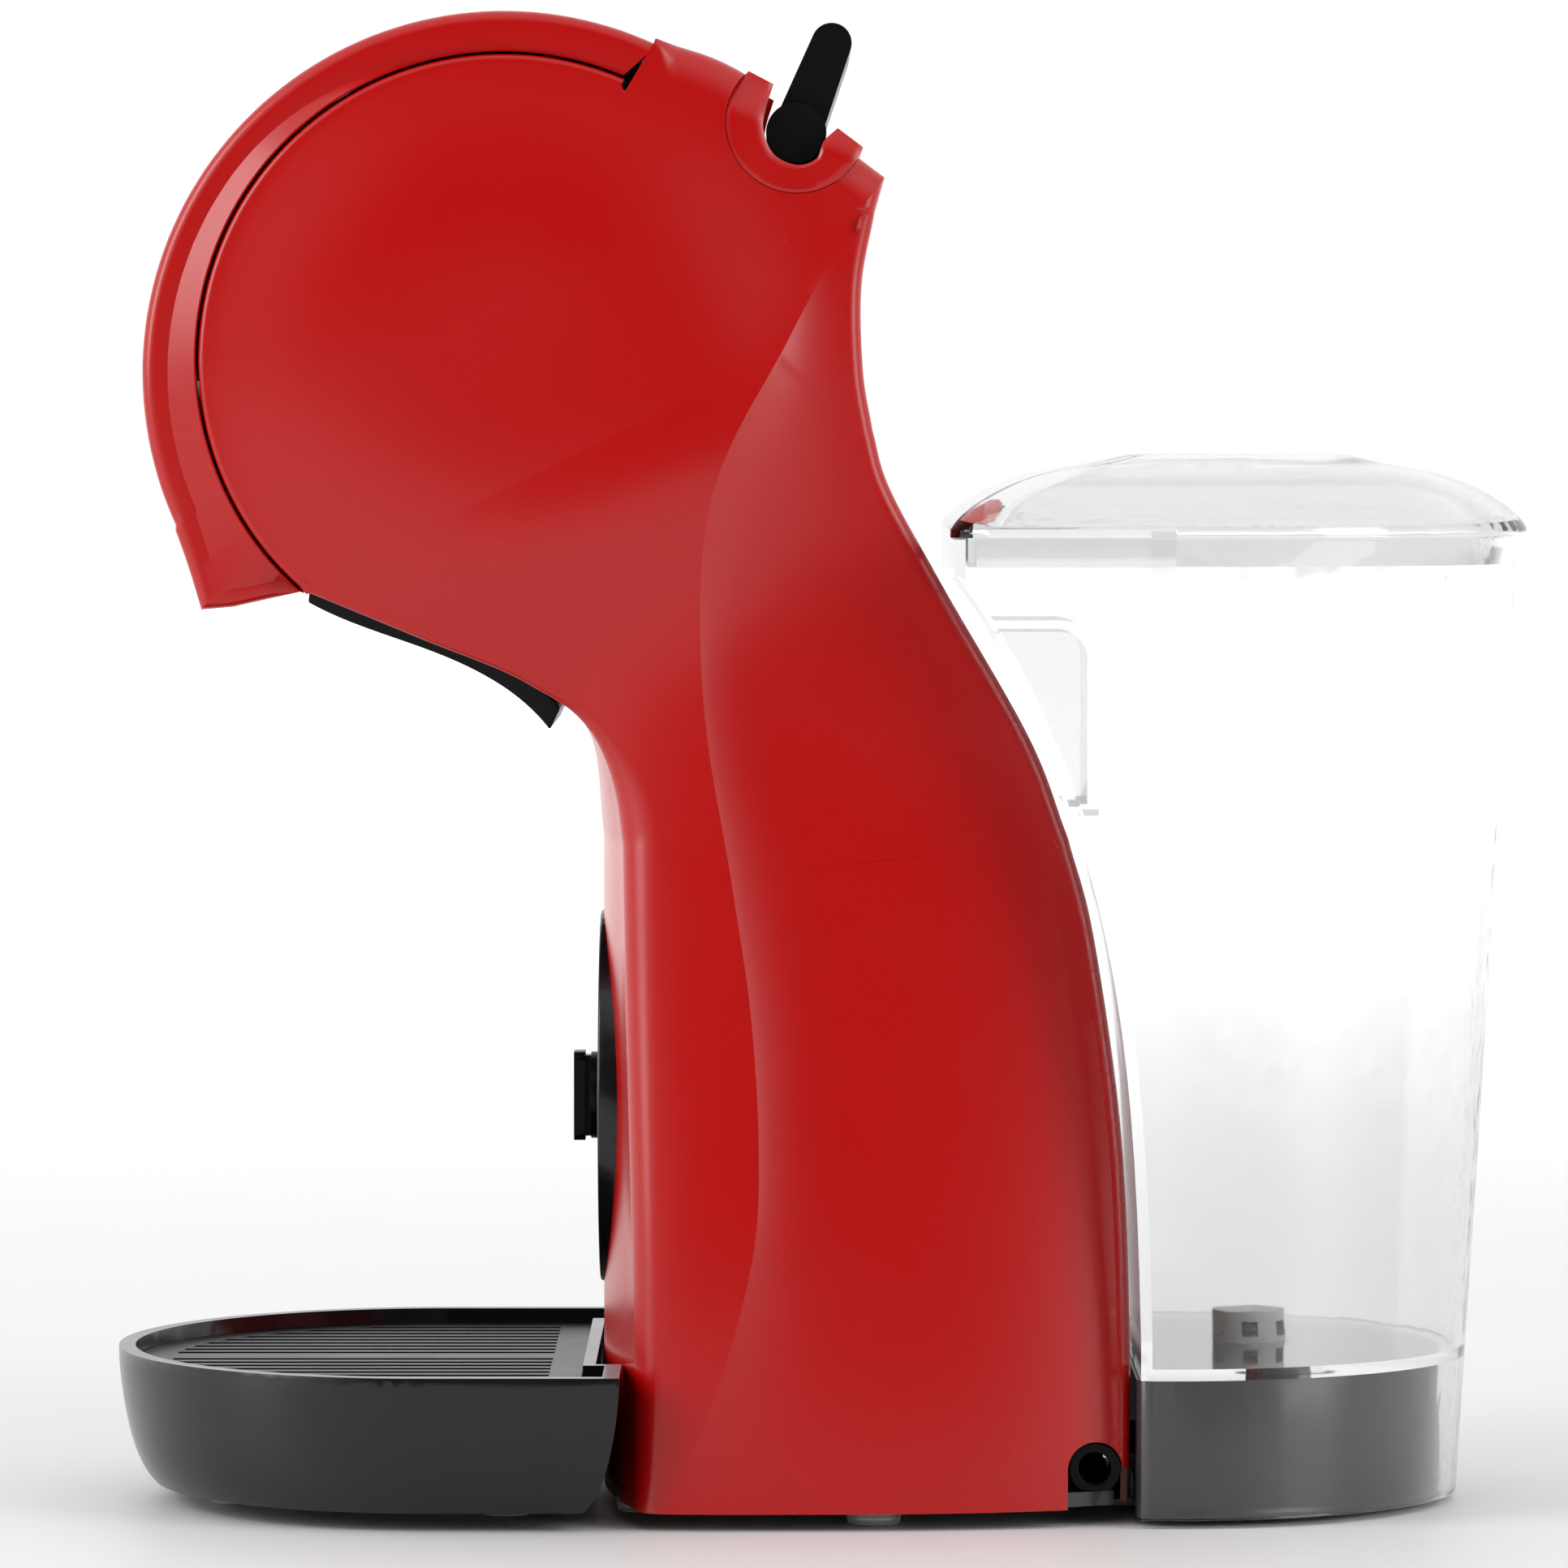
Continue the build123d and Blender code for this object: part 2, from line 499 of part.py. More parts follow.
def make_pump():
    """Vibration pump: coil block, barrel with both spigots, and the plunger inside."""
    barrel = rod_z(PUMP_X, PUMP_Y, 11.0, PUMP_LOW + 8, PUMP_HIGH - 8)
    barrel += rod_z(PUMP_X, PUMP_Y, SPIGOT, PUMP_LOW, PUMP_LOW + 8)
    barrel += rod_z(PUMP_X, PUMP_Y, SPIGOT, PUMP_HIGH - 8, PUMP_HIGH)
    barrel -= rod_z(PUMP_X, PUMP_Y, 8.06, 36, 78)
    barrel -= rod_z(PUMP_X, PUMP_Y, 0.9, PUMP_LOW - 1, PUMP_HIGH + 1)
    coil = box(PUMP_X - 17, PUMP_X + 17, PUMP_Y - 17, PUMP_Y + 17, 40, 74)
    coil -= rod_z(PUMP_X, PUMP_Y, 11.02, 39, 75)
    plunger = ring_z(PUMP_X, PUMP_Y, 8.0, 1.8, 40.5, 62.0)
    return coil, barrel, plunger


def coil_spring(x, y, r, wire, z0, z1, turns):
    """A round-wire compression spring between two heights."""
    height = z1 - z0 - wire
    path = Pos(x, y, z0 + wire / 2) * Helix(pitch=height / turns, height=height, radius=r)
    return sweep(Plane(path @ 0, z_dir=path % 0) * Circle(wire / 2), path=path)


def make_pump_springs():
    """Springs on both sides of the plunger."""
    low = coil_spring(PUMP_X, PUMP_Y, 6.6, 1.1, 36.1, 40.3, 2.5)
    return Compound([low, coil_spring(PUMP_X, PUMP_Y, 6.6, 1.1, 62.3, 77.8, 5)])


def make_pump_mounts():
    """Two rubber rings that hold the pump's barrel in the spine's brackets."""
    rings = [ring_z(PUMP_X, PUMP_Y, 14.0, 11.02, z, z + 6) for z in (31.5, 80.0)]
    return Compound(rings)


def make_spine():
    """Upright wall that ties the base, the pump and the brew frame together."""
    spine = box(-30, 30, -2.5, 0.5, 6.6, 190)
    spine -= box(-22, 22, -5, 5, 112, 176) + box(-12, 12, -5, 5, 60, 100)
    for z in (31.5, 80.0):
        arm = box(-16, 16, 0.5, PUMP_Y + 16, z + 0.2, z + 5.8) - rod_z(PUMP_X, PUMP_Y, 14.02, z - 1, z + 7)
        spine += arm
    spine += box(-30, 30, -47.9, 0.5, 187.4, 190)
    spine += box(-30, 30, -47.9, -45.3, 190, 194)
    return spine - rod_z(*HEATER_IN, 4.5, 180, 200)


def make_thermoblock():
    """Cast water heater with two spigots underneath."""
    block = box(-28, 28, -40, -4, 194, 228)
    block = fillet(block.edges().filter_by(Axis.X), 6)
    block += rod_z(*HEATER_IN, SPIGOT, 186, 196) + rod_z(*HEATER_OUT, SPIGOT, 226, 237)
    for i in range(5):
        block += box(-26 + 11 * i, -22 + 11 * i, -29, -7, 227, 230.5)
    return block - rod_z(*HEATER_IN, 0.9, 180, 210) - rod_z(*HEATER_OUT, 0.9, 210, 240)


def make_thermostats():
    """Two bimetal thermostats on the heater's rear face."""
    return Compound([rod_y(x, 214, 6.5, -3.9, -0.6) for x in (-13, 13)])


def hose(bend, *points):
    """A round hose along straight runs joined by arcs."""
    path = FilletPolyline(*points, radius=bend)
    return sweep(Plane(path @ 0, z_dir=path % 0) * (Circle(HOSE_OUT) - Circle(HOSE_IN)), path=path)


def make_hoses():
    """The water's way: stand to pump, pump to selector, selector to heater, heater to injector."""
    port = PANEL_Z + 17.5
    stand, pump, inlet = (0, OUTLET_Y), (PUMP_X, PUMP_Y), (INLET_X, INLET_Y)
    left, right = (-VALVE_PORT, VALVE_Y), (VALVE_PORT, VALVE_Y)
    return {
        "suction_hose": hose(5, (*stand, 17.4), (*stand, HOSE_Z), (*pump, HOSE_Z), (*pump, PUMP_LOW + 6)),
        "pressure_hose": hose(7, (*pump, PUMP_HIGH - 6), (*pump, 122), (*left, 122), (*left, port)),
        "heater_hose": hose(10, (*right, port), (*right, 140), (*HEATER_IN, 166), (*HEATER_IN, 192.5)),
        "brew_hose": hose(5, (*HEATER_OUT, 232.5), (*HEATER_OUT, 247.5), (*inlet, 247.5), (*inlet, 239.2)),
    }


# ---- base, stand and feet -----------------------------------------------------------------
def d_plan(half, front, rear, z, corner=3.0):
    """A D-shaped plan: rounded front corners, straight sides and an elliptical back."""
    edges = [
        EllipticalCenterArc((0, TANK_MID), half, rear - TANK_MID, start_angle=0, arc_size=180),
        Line((-half, TANK_MID), (-half, front + corner)),
        CenterArc((-half + corner, front + corner), corner, 180, 90),
        Line((-half + corner, front), (half - corner, front)),
        CenterArc((half - corner, front + corner), corner, 270, 90),
        Line((half, front + corner), (half, TANK_MID)),
    ]
    return Pos(0, 0, z) * make_face(Wire(edges))


BASE_SCREWS = [(-36, 30), (36, 30), (-24, -22), (24, -22)]
BASE_FEET = [(-48, 9.6), (48, 9.6), (-26, 100), (26, 100), (-28, -34.2), (28, -34.2)]
BASE_LOW, BASE_HIGH = 3.5, 6.3


def make_base_plate(inner):
    """Bottom plate inside the shells, with a step that reaches under the rear wall to the tank stand."""
    slice_low = 6.0
    slab = box(-80, 80, -80, 80, slice_low, slice_low + BASE_HIGH - BASE_LOW)
    plate = Pos(0, 0, BASE_LOW - slice_low) * ((inner + mirrored(inner)) & slab)
    plate += box(-0.2, 0.2, -38, 54, BASE_LOW, BASE_HIGH)
    plate += box(-34, 34, 48, 58.9, 1.8, 3.0) + box(-34, 34, 48, 52, 2.4, 4.4)
    for x, y in BASE_SCREWS:
        plate -= rod_z(x, y, 1.8, 0, 10) + rod_z(x, y, 3.4, 0, 4.9)
        plate += ring_z(x, y, 4.4, 1.8, 5.2, 12.0)
    for x, y in BASE_FEET:
        plate -= rod_z(x, y, 5.15, 0, 4.7)
    return plate


def make_base_screws():
    return Compound([rod_z(x, y, 3.3, 3.5, 4.9) + rod_z(x, y, 1.78, 4.9, 14) for x, y in BASE_SCREWS])


def foot(x, y, top):
    """A clear rubber foot with a rounded sole."""
    pad = rod_z(x, y, 5.1, 0, top)
    return fillet(pad.edges().filter_by(GeomType.CIRCLE).sort_by(Axis.Z)[0], 0.8)


def make_tank_stand():
    """Hollow stand that carries the tank, with a bored well for the inlet."""
    outer = extrude(d_plan(53.0, 59.0, 119.6, 1.6), amount=STAND_TOP - 1.6)
    inner = extrude(d_plan(50.4, 61.6, 117.0, 1.6), amount=STAND_TOP - 4.2)
    stand = outer - inner + box(-34, 34, 58.7, 64, 3.2, 8.0)
    stand += rod_z(0, OUTLET_Y, 12.0, 17.5, STAND_TOP - 1)
    for x, y in BASE_FEET[2:4]:
        stand += rod_z(x, y, 6.5, 4.7, STAND_TOP - 1)
    stand -= rod_z(0, OUTLET_Y, 8.2, 21.0, 40) + rod_z(0, OUTLET_Y, 3.5, 10, 40)
    return stand - rod_y(0, HOSE_Z, 4.2, 50, 75)


def make_stand_nipple():
    """Inlet nipple that opens the tank's valve, with the hose spigot under it."""
    nipple = rod_z(0, OUTLET_Y, 3.45, 17.5, 23.0) + rod_z(0, OUTLET_Y, 1.4, 23.0, 27.0)
    nipple += rod_z(0, OUTLET_Y, 6.0, 21.0, 22.0) + rod_z(0, OUTLET_Y, SPIGOT, 16.2, 17.5)
    return nipple - rod_z(0, OUTLET_Y, 0.9, 10, 25.5) - rod_x(OUTLET_Y, 25.0, 0.5, -3, 3)


# ---- tank ---------------------------------------------------------------------------------
TANK_FRONT, TANK_HALF_LOW, TANK_HALF_TOP = 24.4, 57.0, 59.0
TANK_REAR_LOW, TANK_REAR_TOP = 122.8, 134.5
LID_RISE, LID_HALF, LID_FRONT, LID_RIM = 13.6, 60.2, 23.8, 187.4
POCKET_HALF, POCKET_LOW, POCKET_HIGH, POCKET_BACK = 20.0, 134.7, 167.6, 50.6


def tank_front(inset):
    """Side face of everything behind the tank's front wall, which follows the column's back."""
    y = TANK_FRONT + inset
    heel = y + 35.2
    return side_face(
        Line((y, 200), (y, 178)),
        Spline((y, 178), (y + 7.6, 166.5), (y + 16.8, 148), (y + 28.6, 110.4), (y + 33.6, 72.8), (heel, 35)),
        Line((heel, 35), (heel, -2)),
        Line((heel, -2), (160, -2)),
        Line((160, -2), (160, 200)),
        Line((160, 200), (y, 200)),
    )


def tank_block(inset, low, high):
    """The tank's tapering D-shaped solid between two heights, inside its surface by inset."""
    def plan(z):
        t = (z - TANK_LOW) / (TANK_TOP - TANK_LOW)
        half = TANK_HALF_LOW + (TANK_HALF_TOP - TANK_HALF_LOW) * t - inset
        rear = TANK_REAR_LOW + (TANK_REAR_TOP - TANK_REAR_LOW) * t - inset
        return d_plan(half, 12, rear, z)
    block = loft([plan(low), plan(high)], ruled=True)
    return block & across(tank_front(inset), -70, 70)


def pocket_outline(grow):
    """Side outline of the finger pocket, with a rounded top at its back."""
    back, low, high, corner = POCKET_BACK + grow, POCKET_LOW - grow, POCKET_HIGH + grow, 5.0 + grow
    return side_face(
        Line((20, low), (back, low)),
        Line((back, low), (back, high - corner)),
        CenterArc((back - corner, high - corner), corner, 0, 90),
        Line((back - corner, high), (20, high)),
        Line((20, high), (20, low)),
    )


def make_tank():
    """Clear tank with a finger pocket in front, a valve boss and an open skirt under its floor."""
    outer, inner = tank_block(0, TANK_LOW, TANK_TOP), tank_block(TANK_WALL, TANK_FLOOR, TANK_TOP + 1)
    pocket = across(pocket_outline(0), -POCKET_HALF, POCKET_HALF)
    shroud = across(pocket_outline(TANK_WALL), -POCKET_HALF - TANK_WALL, POCKET_HALF + TANK_WALL)
    tank = outer - (inner - shroud) - pocket
    under_floor = TANK_FLOOR - TANK_WALL
    tank -= tank_block(TANK_WALL, TANK_LOW - 1, under_floor) + box(-54.6, 54.6, 40, 70, 0, under_floor)
    tank += rod_z(0, OUTLET_Y, 7.8, 23.4, TANK_FLOOR)
    return tank - rod_z(0, OUTLET_Y, 3.0, 20, 40) - rod_z(0, OUTLET_Y, 5.5, 27.0, 40)


def make_tank_valve():
    """Poppet that closes the tank's outlet, its spring cage, spring and seal."""
    poppet = rod_z(0, OUTLET_Y, 5.2, 28.4, 30.0) + rod_z(0, OUTLET_Y, 1.5, 27.3, 36.0)
    cage = ring_z(0, OUTLET_Y, 6.9, 5.6, 30.0, 36.0) + ring_z(0, OUTLET_Y, 6.9, 1.56, 34.8, 36.0)
    for turn in (0, 60, 120):
        cage -= Pos(0, OUTLET_Y, 32.6) * Rot(0, 0, turn) * Box(20, 3.0, 2.8)
    seal = ring_z(0, OUTLET_Y, 5.0, 3.1, 27.0, 28.4)
    return poppet, cage, coil_spring(0, OUTLET_Y, 3.4, 0.6, 30.1, 34.7, 3), seal


def lid_dome(inset, drop):
    """The lid's domed solid, built from shrinking plans; inset and drop give its inner surface."""
    mid = (LID_FRONT + BACK) / 2
    plans = []
    for scale in (1.0, 0.965, 0.91, 0.82, 0.68, 0.5, 0.28):
        height = LID_RISE * (1 - scale ** 3.2) ** 0.75
        half, front = (LID_HALF - inset) * scale, mid + (LID_FRONT + inset - mid) * scale
        corner = 7.0 * scale
        rear = mid + (BACK - inset - mid) * scale
        middle = mid + (TANK_MID - mid) * scale
        plans.append(Pos(0, 0, LID_RIM + height - drop) * make_face(Wire([
            EllipticalCenterArc((0, middle), half, rear - middle, start_angle=0, arc_size=180),
            Line((-half, middle), (-half, front + corner)),
            CenterArc((-half + corner, front + corner), corner, 180, 90),
            Line((-half + corner, front), (half - corner, front)),
            CenterArc((half - corner, front + corner), corner, 270, 90),
            Line((half, front + corner), (half, middle)),
        ])))
    return plans[0], loft(plans)


def make_tank_lid():
    """Domed lid with a flat rim and a lip that drops into the tank."""
    rim, dome = lid_dome(0, 0)
    rim_in, dome_in = lid_dome(2.0, 1.8)
    lid = dome + extrude(rim, amount=-1.5) - dome_in - extrude(rim_in, amount=-5)
    lip = tank_block(TANK_WALL + 0.4, 180.5, 186.5) - tank_block(TANK_WALL + 2.0, 179, 188)
    flange = extrude(rim, amount=-1.5) - tank_block(TANK_WALL + 2.0, 179, 190)
    return lid + flange + lip


# ---- drip tray ----------------------------------------------------------------------------
def tray_plan(inset, z):
    """Rounded front, straight sides and a straight back."""
    a, b, rear = TRAY_A - inset, TRAY_B - inset, -38.0 - inset
    edges = [
        EllipticalCenterArc((0, TRAY_Y), b, a, start_angle=180, arc_size=180),
        Line((b, TRAY_Y), (b, rear)),
        Line((b, rear), (-b, rear)),
        Line((-b, rear), (-b, TRAY_Y)),
    ]
    return Pos(0, 0, z) * make_face(Wire(edges))


def tray_column(gap, z0, z1):
    """The room kept free for the column's front, which stands in the back of the tray."""
    return box(-42.5 - gap, 42.5 + gap, COLUMN_FRONT - 0.8 - gap, -30, z0, z1)


def make_tray():
    """Drip tray with a bowed wall, an inner ledge for the grid and a recess for the column."""
    levels = [(TRAY_LOW, 7.0), (7.0, 4.4), (13.0, 2.2), (20.0, 0.8), (TRAY_HIGH, 0.0)]
    outer = loft([tray_plan(inset, z) for z, inset in levels]) - tray_column(0, 0, 40)
    inner = extrude(tray_plan(9.4, TRAY_LOW + 2.4), amount=40) - tray_column(2.6, 0, 60)
    ledge = extrude(tray_plan(3.2, GRID_TOP - 2.6), amount=20) - tray_column(2.4, 0, 60)
    return outer - inner - ledge


def make_grid():
    """Slotted grid that drops onto the tray's ledge."""
    grid = extrude(tray_plan(3.5, GRID_TOP - 2.4), amount=2.4) - tray_column(2.7, 0, 60)
    slotted = extrude(tray_plan(10.5, 20), amount=10)
    for x in (x for x in range(-54, 55, 6) if x):
        grid -= box(x - 1.4, x + 1.4, -128 + 0.0055 * x * x, -52, 20, 30) & slotted
    ribs = box(-60, 60, -112, -109, 22.4, GRID_TOP - 1.6) + box(-60, 60, -72, -69, 22.4, GRID_TOP - 1.6)
    return grid + (ribs & extrude(tray_plan(10.2, 20), amount=10))


TRAY_FEET = [(-15, -112.4), (15, -112.4), (-34, -60), (34, -60)]


def make_spout():
    """Funnel under the capsule that leads the coffee out of the head."""
    half = Polyline(
        (20.2, 191.4), (22.0, 191.4), (22.0, 188.0), (13.6, 182.0), (13.6, 175.6),
        (3.4, 175.6), (3.4, 180.0), (20.2, 189.4), close=True)
    face = Plane.XZ * make_face(half)
    spout = Pos(0, BREW_Y, 0) * revolve(face, axis=Axis.Z)
    for side in (-1, 1):
        x0, x1 = sorted((side * 21.1, side * FRAME_OUT))
        spout += box(x0, x1, BREW_Y - 5, BREW_Y + 5, 189.0, 191.4)
    return spout


def make_cord_gland():
    """Bored gland in the shell's rear foot; the cord itself is not part of the model."""
    gland = rod_x(NOTCH_Y, NOTCH_Z, NOTCH_R - 0.2, 40, 50) & box(0, 90, 40, 60, BASE_HIGH + 0.1, 30)
    return gland - rod_x(NOTCH_Y, NOTCH_Z, 3.0, 20, 60)


def main():
    os.makedirs("parts", exist_ok=True)
    body, core = half_body(), half_body(WALL)
    left, right = make_side_shells(body, core)
    lever, seat = make_lever()
    carriage, needle, injector_seal = make_injector()
    holder, holder_face = make_capsule_holder()
    coil, barrel, plunger = make_pump()
    poppet, cage, valve_spring, valve_seal = make_tank_valve()
    pieces = {
        "left_shell": left,
        "right_shell": right,
        "front_hood": make_hood(),
        "fascia": make_fascia(),
        "underside_cover": make_underside(),
        "lever_saddle": make_lever_saddle(body),
        "locking_lever": lever,
        "lever_mark": seat & make_paddle(),
        "lever_pin": rod_x(PIVOT_Y, PIVOT_Z, 2.0, -PIN_HALF, PIN_HALF),
        "push_rod": make_lock_rod(),
        "bell_crank": make_bell_crank(),
        "bell_crank_pin": rod_x(BELL_Y, BELL_Z, 2.0, -FRAME_OUT, FRAME_OUT),
        "injector_carriage": carriage,
        "injector_needle": needle,
        "injector_seal": injector_seal,
        "injector_inlet": make_injector_inlet(),
        "guide_rods": make_guide_rods(),
        "brew_frame": make_brew_frame(),
        "capsule_holder": holder,
        "holder_face": holder_face,
        "coffee_spout": make_spout(),
        "control_panel": make_panel(),
        "selector_knob": make_knob(),
        "selector_spindle": make_spindle(),
        "selector_valve": make_selector_valve(),
        "power_button": make_button(),
        "button_spring": make_button_spring(),
        "indicator_light": rod_y(0, LENS_Z, 1.95, PANEL_FRONT - 0.2, -36.8),
        "control_board": make_board(),
        "pump_coil": coil,
        "pump_barrel": barrel,
        "pump_plunger": plunger,
        "pump_springs": make_pump_springs(),
        "pump_mounts": make_pump_mounts(),
        "spine": make_spine(),
        "water_heater": make_thermoblock(),
        "thermostats": make_thermostats(),
        "base_plate": make_base_plate(half_body(WALL + 0.2)),
        "base_screws": make_base_screws(),
        "column_feet": Compound([foot(x, y, 4.6) for x, y in BASE_FEET]),
        "tray_feet": Compound([foot(x, y, TRAY_LOW) for x, y in TRAY_FEET]),
        "tank_stand": make_tank_stand(),
        "stand_nipple": make_stand_nipple(),
        "tank": make_tank(),
        "tank_lid": make_tank_lid(),
        "tank_valve": poppet,
        "valve_cage": cage,
        "valve_spring": valve_spring,
        "valve_seal": valve_seal,
        "drip_tray": make_tray(),
        "drip_grid": make_grid(),
        "cord_gland": make_cord_gland(),
    }
    pieces.update(make_hoses())
    for node, shape in pieces.items():
        save(shape, node)


main()
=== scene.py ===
"""Looks of the capsule espresso machine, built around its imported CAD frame. Metres, same frame."""
import json
from math import atan2, cos, degrees, dist, exp, pi, radians, sin

import bmesh
import bpy
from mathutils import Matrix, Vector


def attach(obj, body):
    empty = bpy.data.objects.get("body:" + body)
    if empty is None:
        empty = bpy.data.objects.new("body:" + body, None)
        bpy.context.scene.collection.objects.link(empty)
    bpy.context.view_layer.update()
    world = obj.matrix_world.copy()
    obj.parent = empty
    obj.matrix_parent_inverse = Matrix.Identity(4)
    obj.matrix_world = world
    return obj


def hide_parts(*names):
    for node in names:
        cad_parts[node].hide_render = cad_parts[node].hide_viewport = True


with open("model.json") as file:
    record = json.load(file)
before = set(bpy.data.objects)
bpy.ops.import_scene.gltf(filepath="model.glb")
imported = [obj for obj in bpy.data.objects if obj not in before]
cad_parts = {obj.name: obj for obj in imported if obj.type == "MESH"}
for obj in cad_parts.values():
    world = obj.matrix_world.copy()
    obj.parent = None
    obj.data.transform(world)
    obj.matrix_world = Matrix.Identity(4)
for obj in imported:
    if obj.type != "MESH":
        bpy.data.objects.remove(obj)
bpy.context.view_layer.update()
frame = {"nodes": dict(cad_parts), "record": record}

MM = 0.001

# ---- the body's shape, in millimetres ------------------------------------------------------
HEAD, HEAD_R = (-60.0, 216.6), 68.2
CHEEK, CHEEK_R = (-60.0, 219.2), 57.4
STEP_IN, STEP_OUT = (-37.2, 272.2), (-31.4, 279.6)
LIP_START, LIP_MID, LIP_TIP = (-122.4, 188.2), (-119.8, 180.8), (-117.2, 172.2)
LIP_HEEL, LIP_REAR = (-111.2, 172.7), (-97.5, 175.8)
REAR_CORNER = (11.7, 253.6)
COLUMN_FRONT, COLUMN_FOOT = -42.1, 3.3
UNDERSIDE = [LIP_REAR, (-76.0, 167.0), (-56.0, 158.6), (-45.0, 148.8), (COLUMN_FRONT, 128.0)]
NECK = [(9.8, 247.0), (7.3, 233.0), (7.6, 217.0), (9.4, 206.0)]
FLANK = [NECK[-1], (12.6, 195.1), (22.8, 176.4), (39.0, 148.0), (46.3, 129.2)]
REAR = [FLANK[-1], (51.2, 110.4), (56.4, 72.8), (57.9, 35.0), (57.6, COLUMN_FOOT)]
UNDER_BAND = [(-37.2, 269.4), (-33.0, 261.0), (-12.0, 248.5), (6.6, 245.0)]
CREASE_HEAD = [(6.6, 245.0), (0.9, 237.0), (-8.2, 219.7)]
CREASE_WAIST = [
    CREASE_HEAD[-1], (-16.6, 204.5), (-21.4, 191.0), (-23.0, 173.0), (-21.9, 149.7), (-17.3, 122.3)]
CREASE_FLANK = [
    CREASE_WAIST[-1], (-13.5, 96.4), (-12.0, 70.0), (-13.4, 50.0), (-20.4, 24.9), (-30.0, COLUMN_FOOT)]
HOOD_HALF, WINDOW_HALF = 45.0, 31.2
SADDLE, SADDLE_R = (-4.9, 263.8), 13.1
LEVER_PIVOT, LEVER_LEAN, LEVER_SWING = (-5.0, 262.0), 21.5, 38.0
PANEL_Z, PANEL_R = 77.5, 35.9
WALL, HOOD_WALL = 1.2, 2.8
CUT_GAP = 0.3
SPOUT_HALF = 14.5
HUB_ROOM = 6.0
INLAY_HALF, INLAY_START, INLAY_LENGTH = 38.0, 10.8, 6.2
EYE, EYE_TARGET = (1.7, -0.0073, 0.2045), (0, -0.0073, 0.1377)


def smooth(t):
    """0 to 1 with a soft start and end."""
    t = min(1.0, max(0.0, t))
    return t * t * (3 - 2 * t)


def between(a, b, t):
    """The point a share t of the way from a to b."""
    return tuple(p + (q - p) * t for p, q in zip(a, b))


def arc(centre, r, start, end, steps=48):
    """Points of a circle between two angles in degrees; 0 is +Y and 90 is up."""
    angles = [radians(start + (end - start) * i / steps) for i in range(steps + 1)]
    return [(centre[0] + r * cos(a), centre[1] + r * sin(a)) for a in angles]


def spline(points, steps=16):
    """A smooth curve through the points."""
    ends = [between(points[1], points[0], 2)] + list(points) + [between(points[-2], points[-1], 2)]
    out = []
    for a, b, c, d in zip(ends, ends[1:], ends[2:], ends[3:]):
        for i in range(steps):
            t = i / steps
            out.append(tuple(
                0.5 * (2 * q + (r - p) * t + (2 * p - 5 * q + 4 * r - s) * t * t
                       + (3 * q - p - 3 * r + s) * t ** 3)
                for p, q, r, s in zip(a, b, c, d)))
    return out + [tuple(points[-1])]


def resample(points, count):
    """The same line as count evenly spaced points."""
    lengths = [0.0]
    for a, b in zip(points, points[1:]):
        lengths.append(lengths[-1] + dist(a, b))
    out, k = [], 0
    for i in range(count):
        at = lengths[-1] * i / (count - 1)
        while k < len(points) - 2 and lengths[k + 1] < at:
            k += 1
        span = lengths[k + 1] - lengths[k]
        out.append(between(points[k], points[k + 1], min(1.0, (at - lengths[k]) / span)))
    return out


def inward(path, side):
    """Unit normals of a line; side is 1 for its left."""
    out = []
    for i in range(len(path)):
        a, b = path[max(0, i - 1)], path[min(len(path) - 1, i + 1)]
        length = dist(a, b)
        out.append((-(b[1] - a[1]) / length * side, (b[0] - a[0]) / length * side))
    return out


def body_x(y, z):
    """Half width of the body without its creases: a domed cheek over a flared column."""
    head = 53.0 - 9.0 * (1 - exp(-((dist((y, z), CHEEK) / 52.0) ** 4)))
    low = smooth((150.0 - z) / 150.0)
    t = max(y, -45.0) + 2.0
    fall = 8.5 * (t / 43) ** 4 if t < 0 else 9.0 * (t / 59) ** 2.5
    flank = 47.0 + 14.0 * low - fall * (0.75 + 0.5 * low)
    return head + (flank - head) * smooth((188.0 - z) / 75.0)


# ---- materials -----------------------------------------------------------------------------
def new_material(name):
    """An empty node material with its shader and output."""
    mat = bpy.data.materials.new(name)
    mat.use_nodes = True
    nodes = mat.node_tree.nodes
    return mat, nodes, mat.node_tree.links, nodes["Principled BSDF"]


def noise(nodes, links, scale, detail=3.0):
    """Noise in the object's own space."""
    place = nodes.new("ShaderNodeTexCoord")
    texture = nodes.new("ShaderNodeTexNoise")
    texture.inputs["Scale"].default_value = scale
    texture.inputs["Detail"].default_value = detail
    links.new(place.outputs["Object"], texture.inputs["Vector"])
    return texture.outputs["Fac"]


def ranged(nodes, links, value, low, high):
    """The value mapped from 0..1 to low..high."""
    node = nodes.new("ShaderNodeMapRange")
    node.inputs["To Min"].default_value = low
    node.inputs["To Max"].default_value = high
    links.new(value, node.inputs["Value"])
    return node.outputs["Result"]


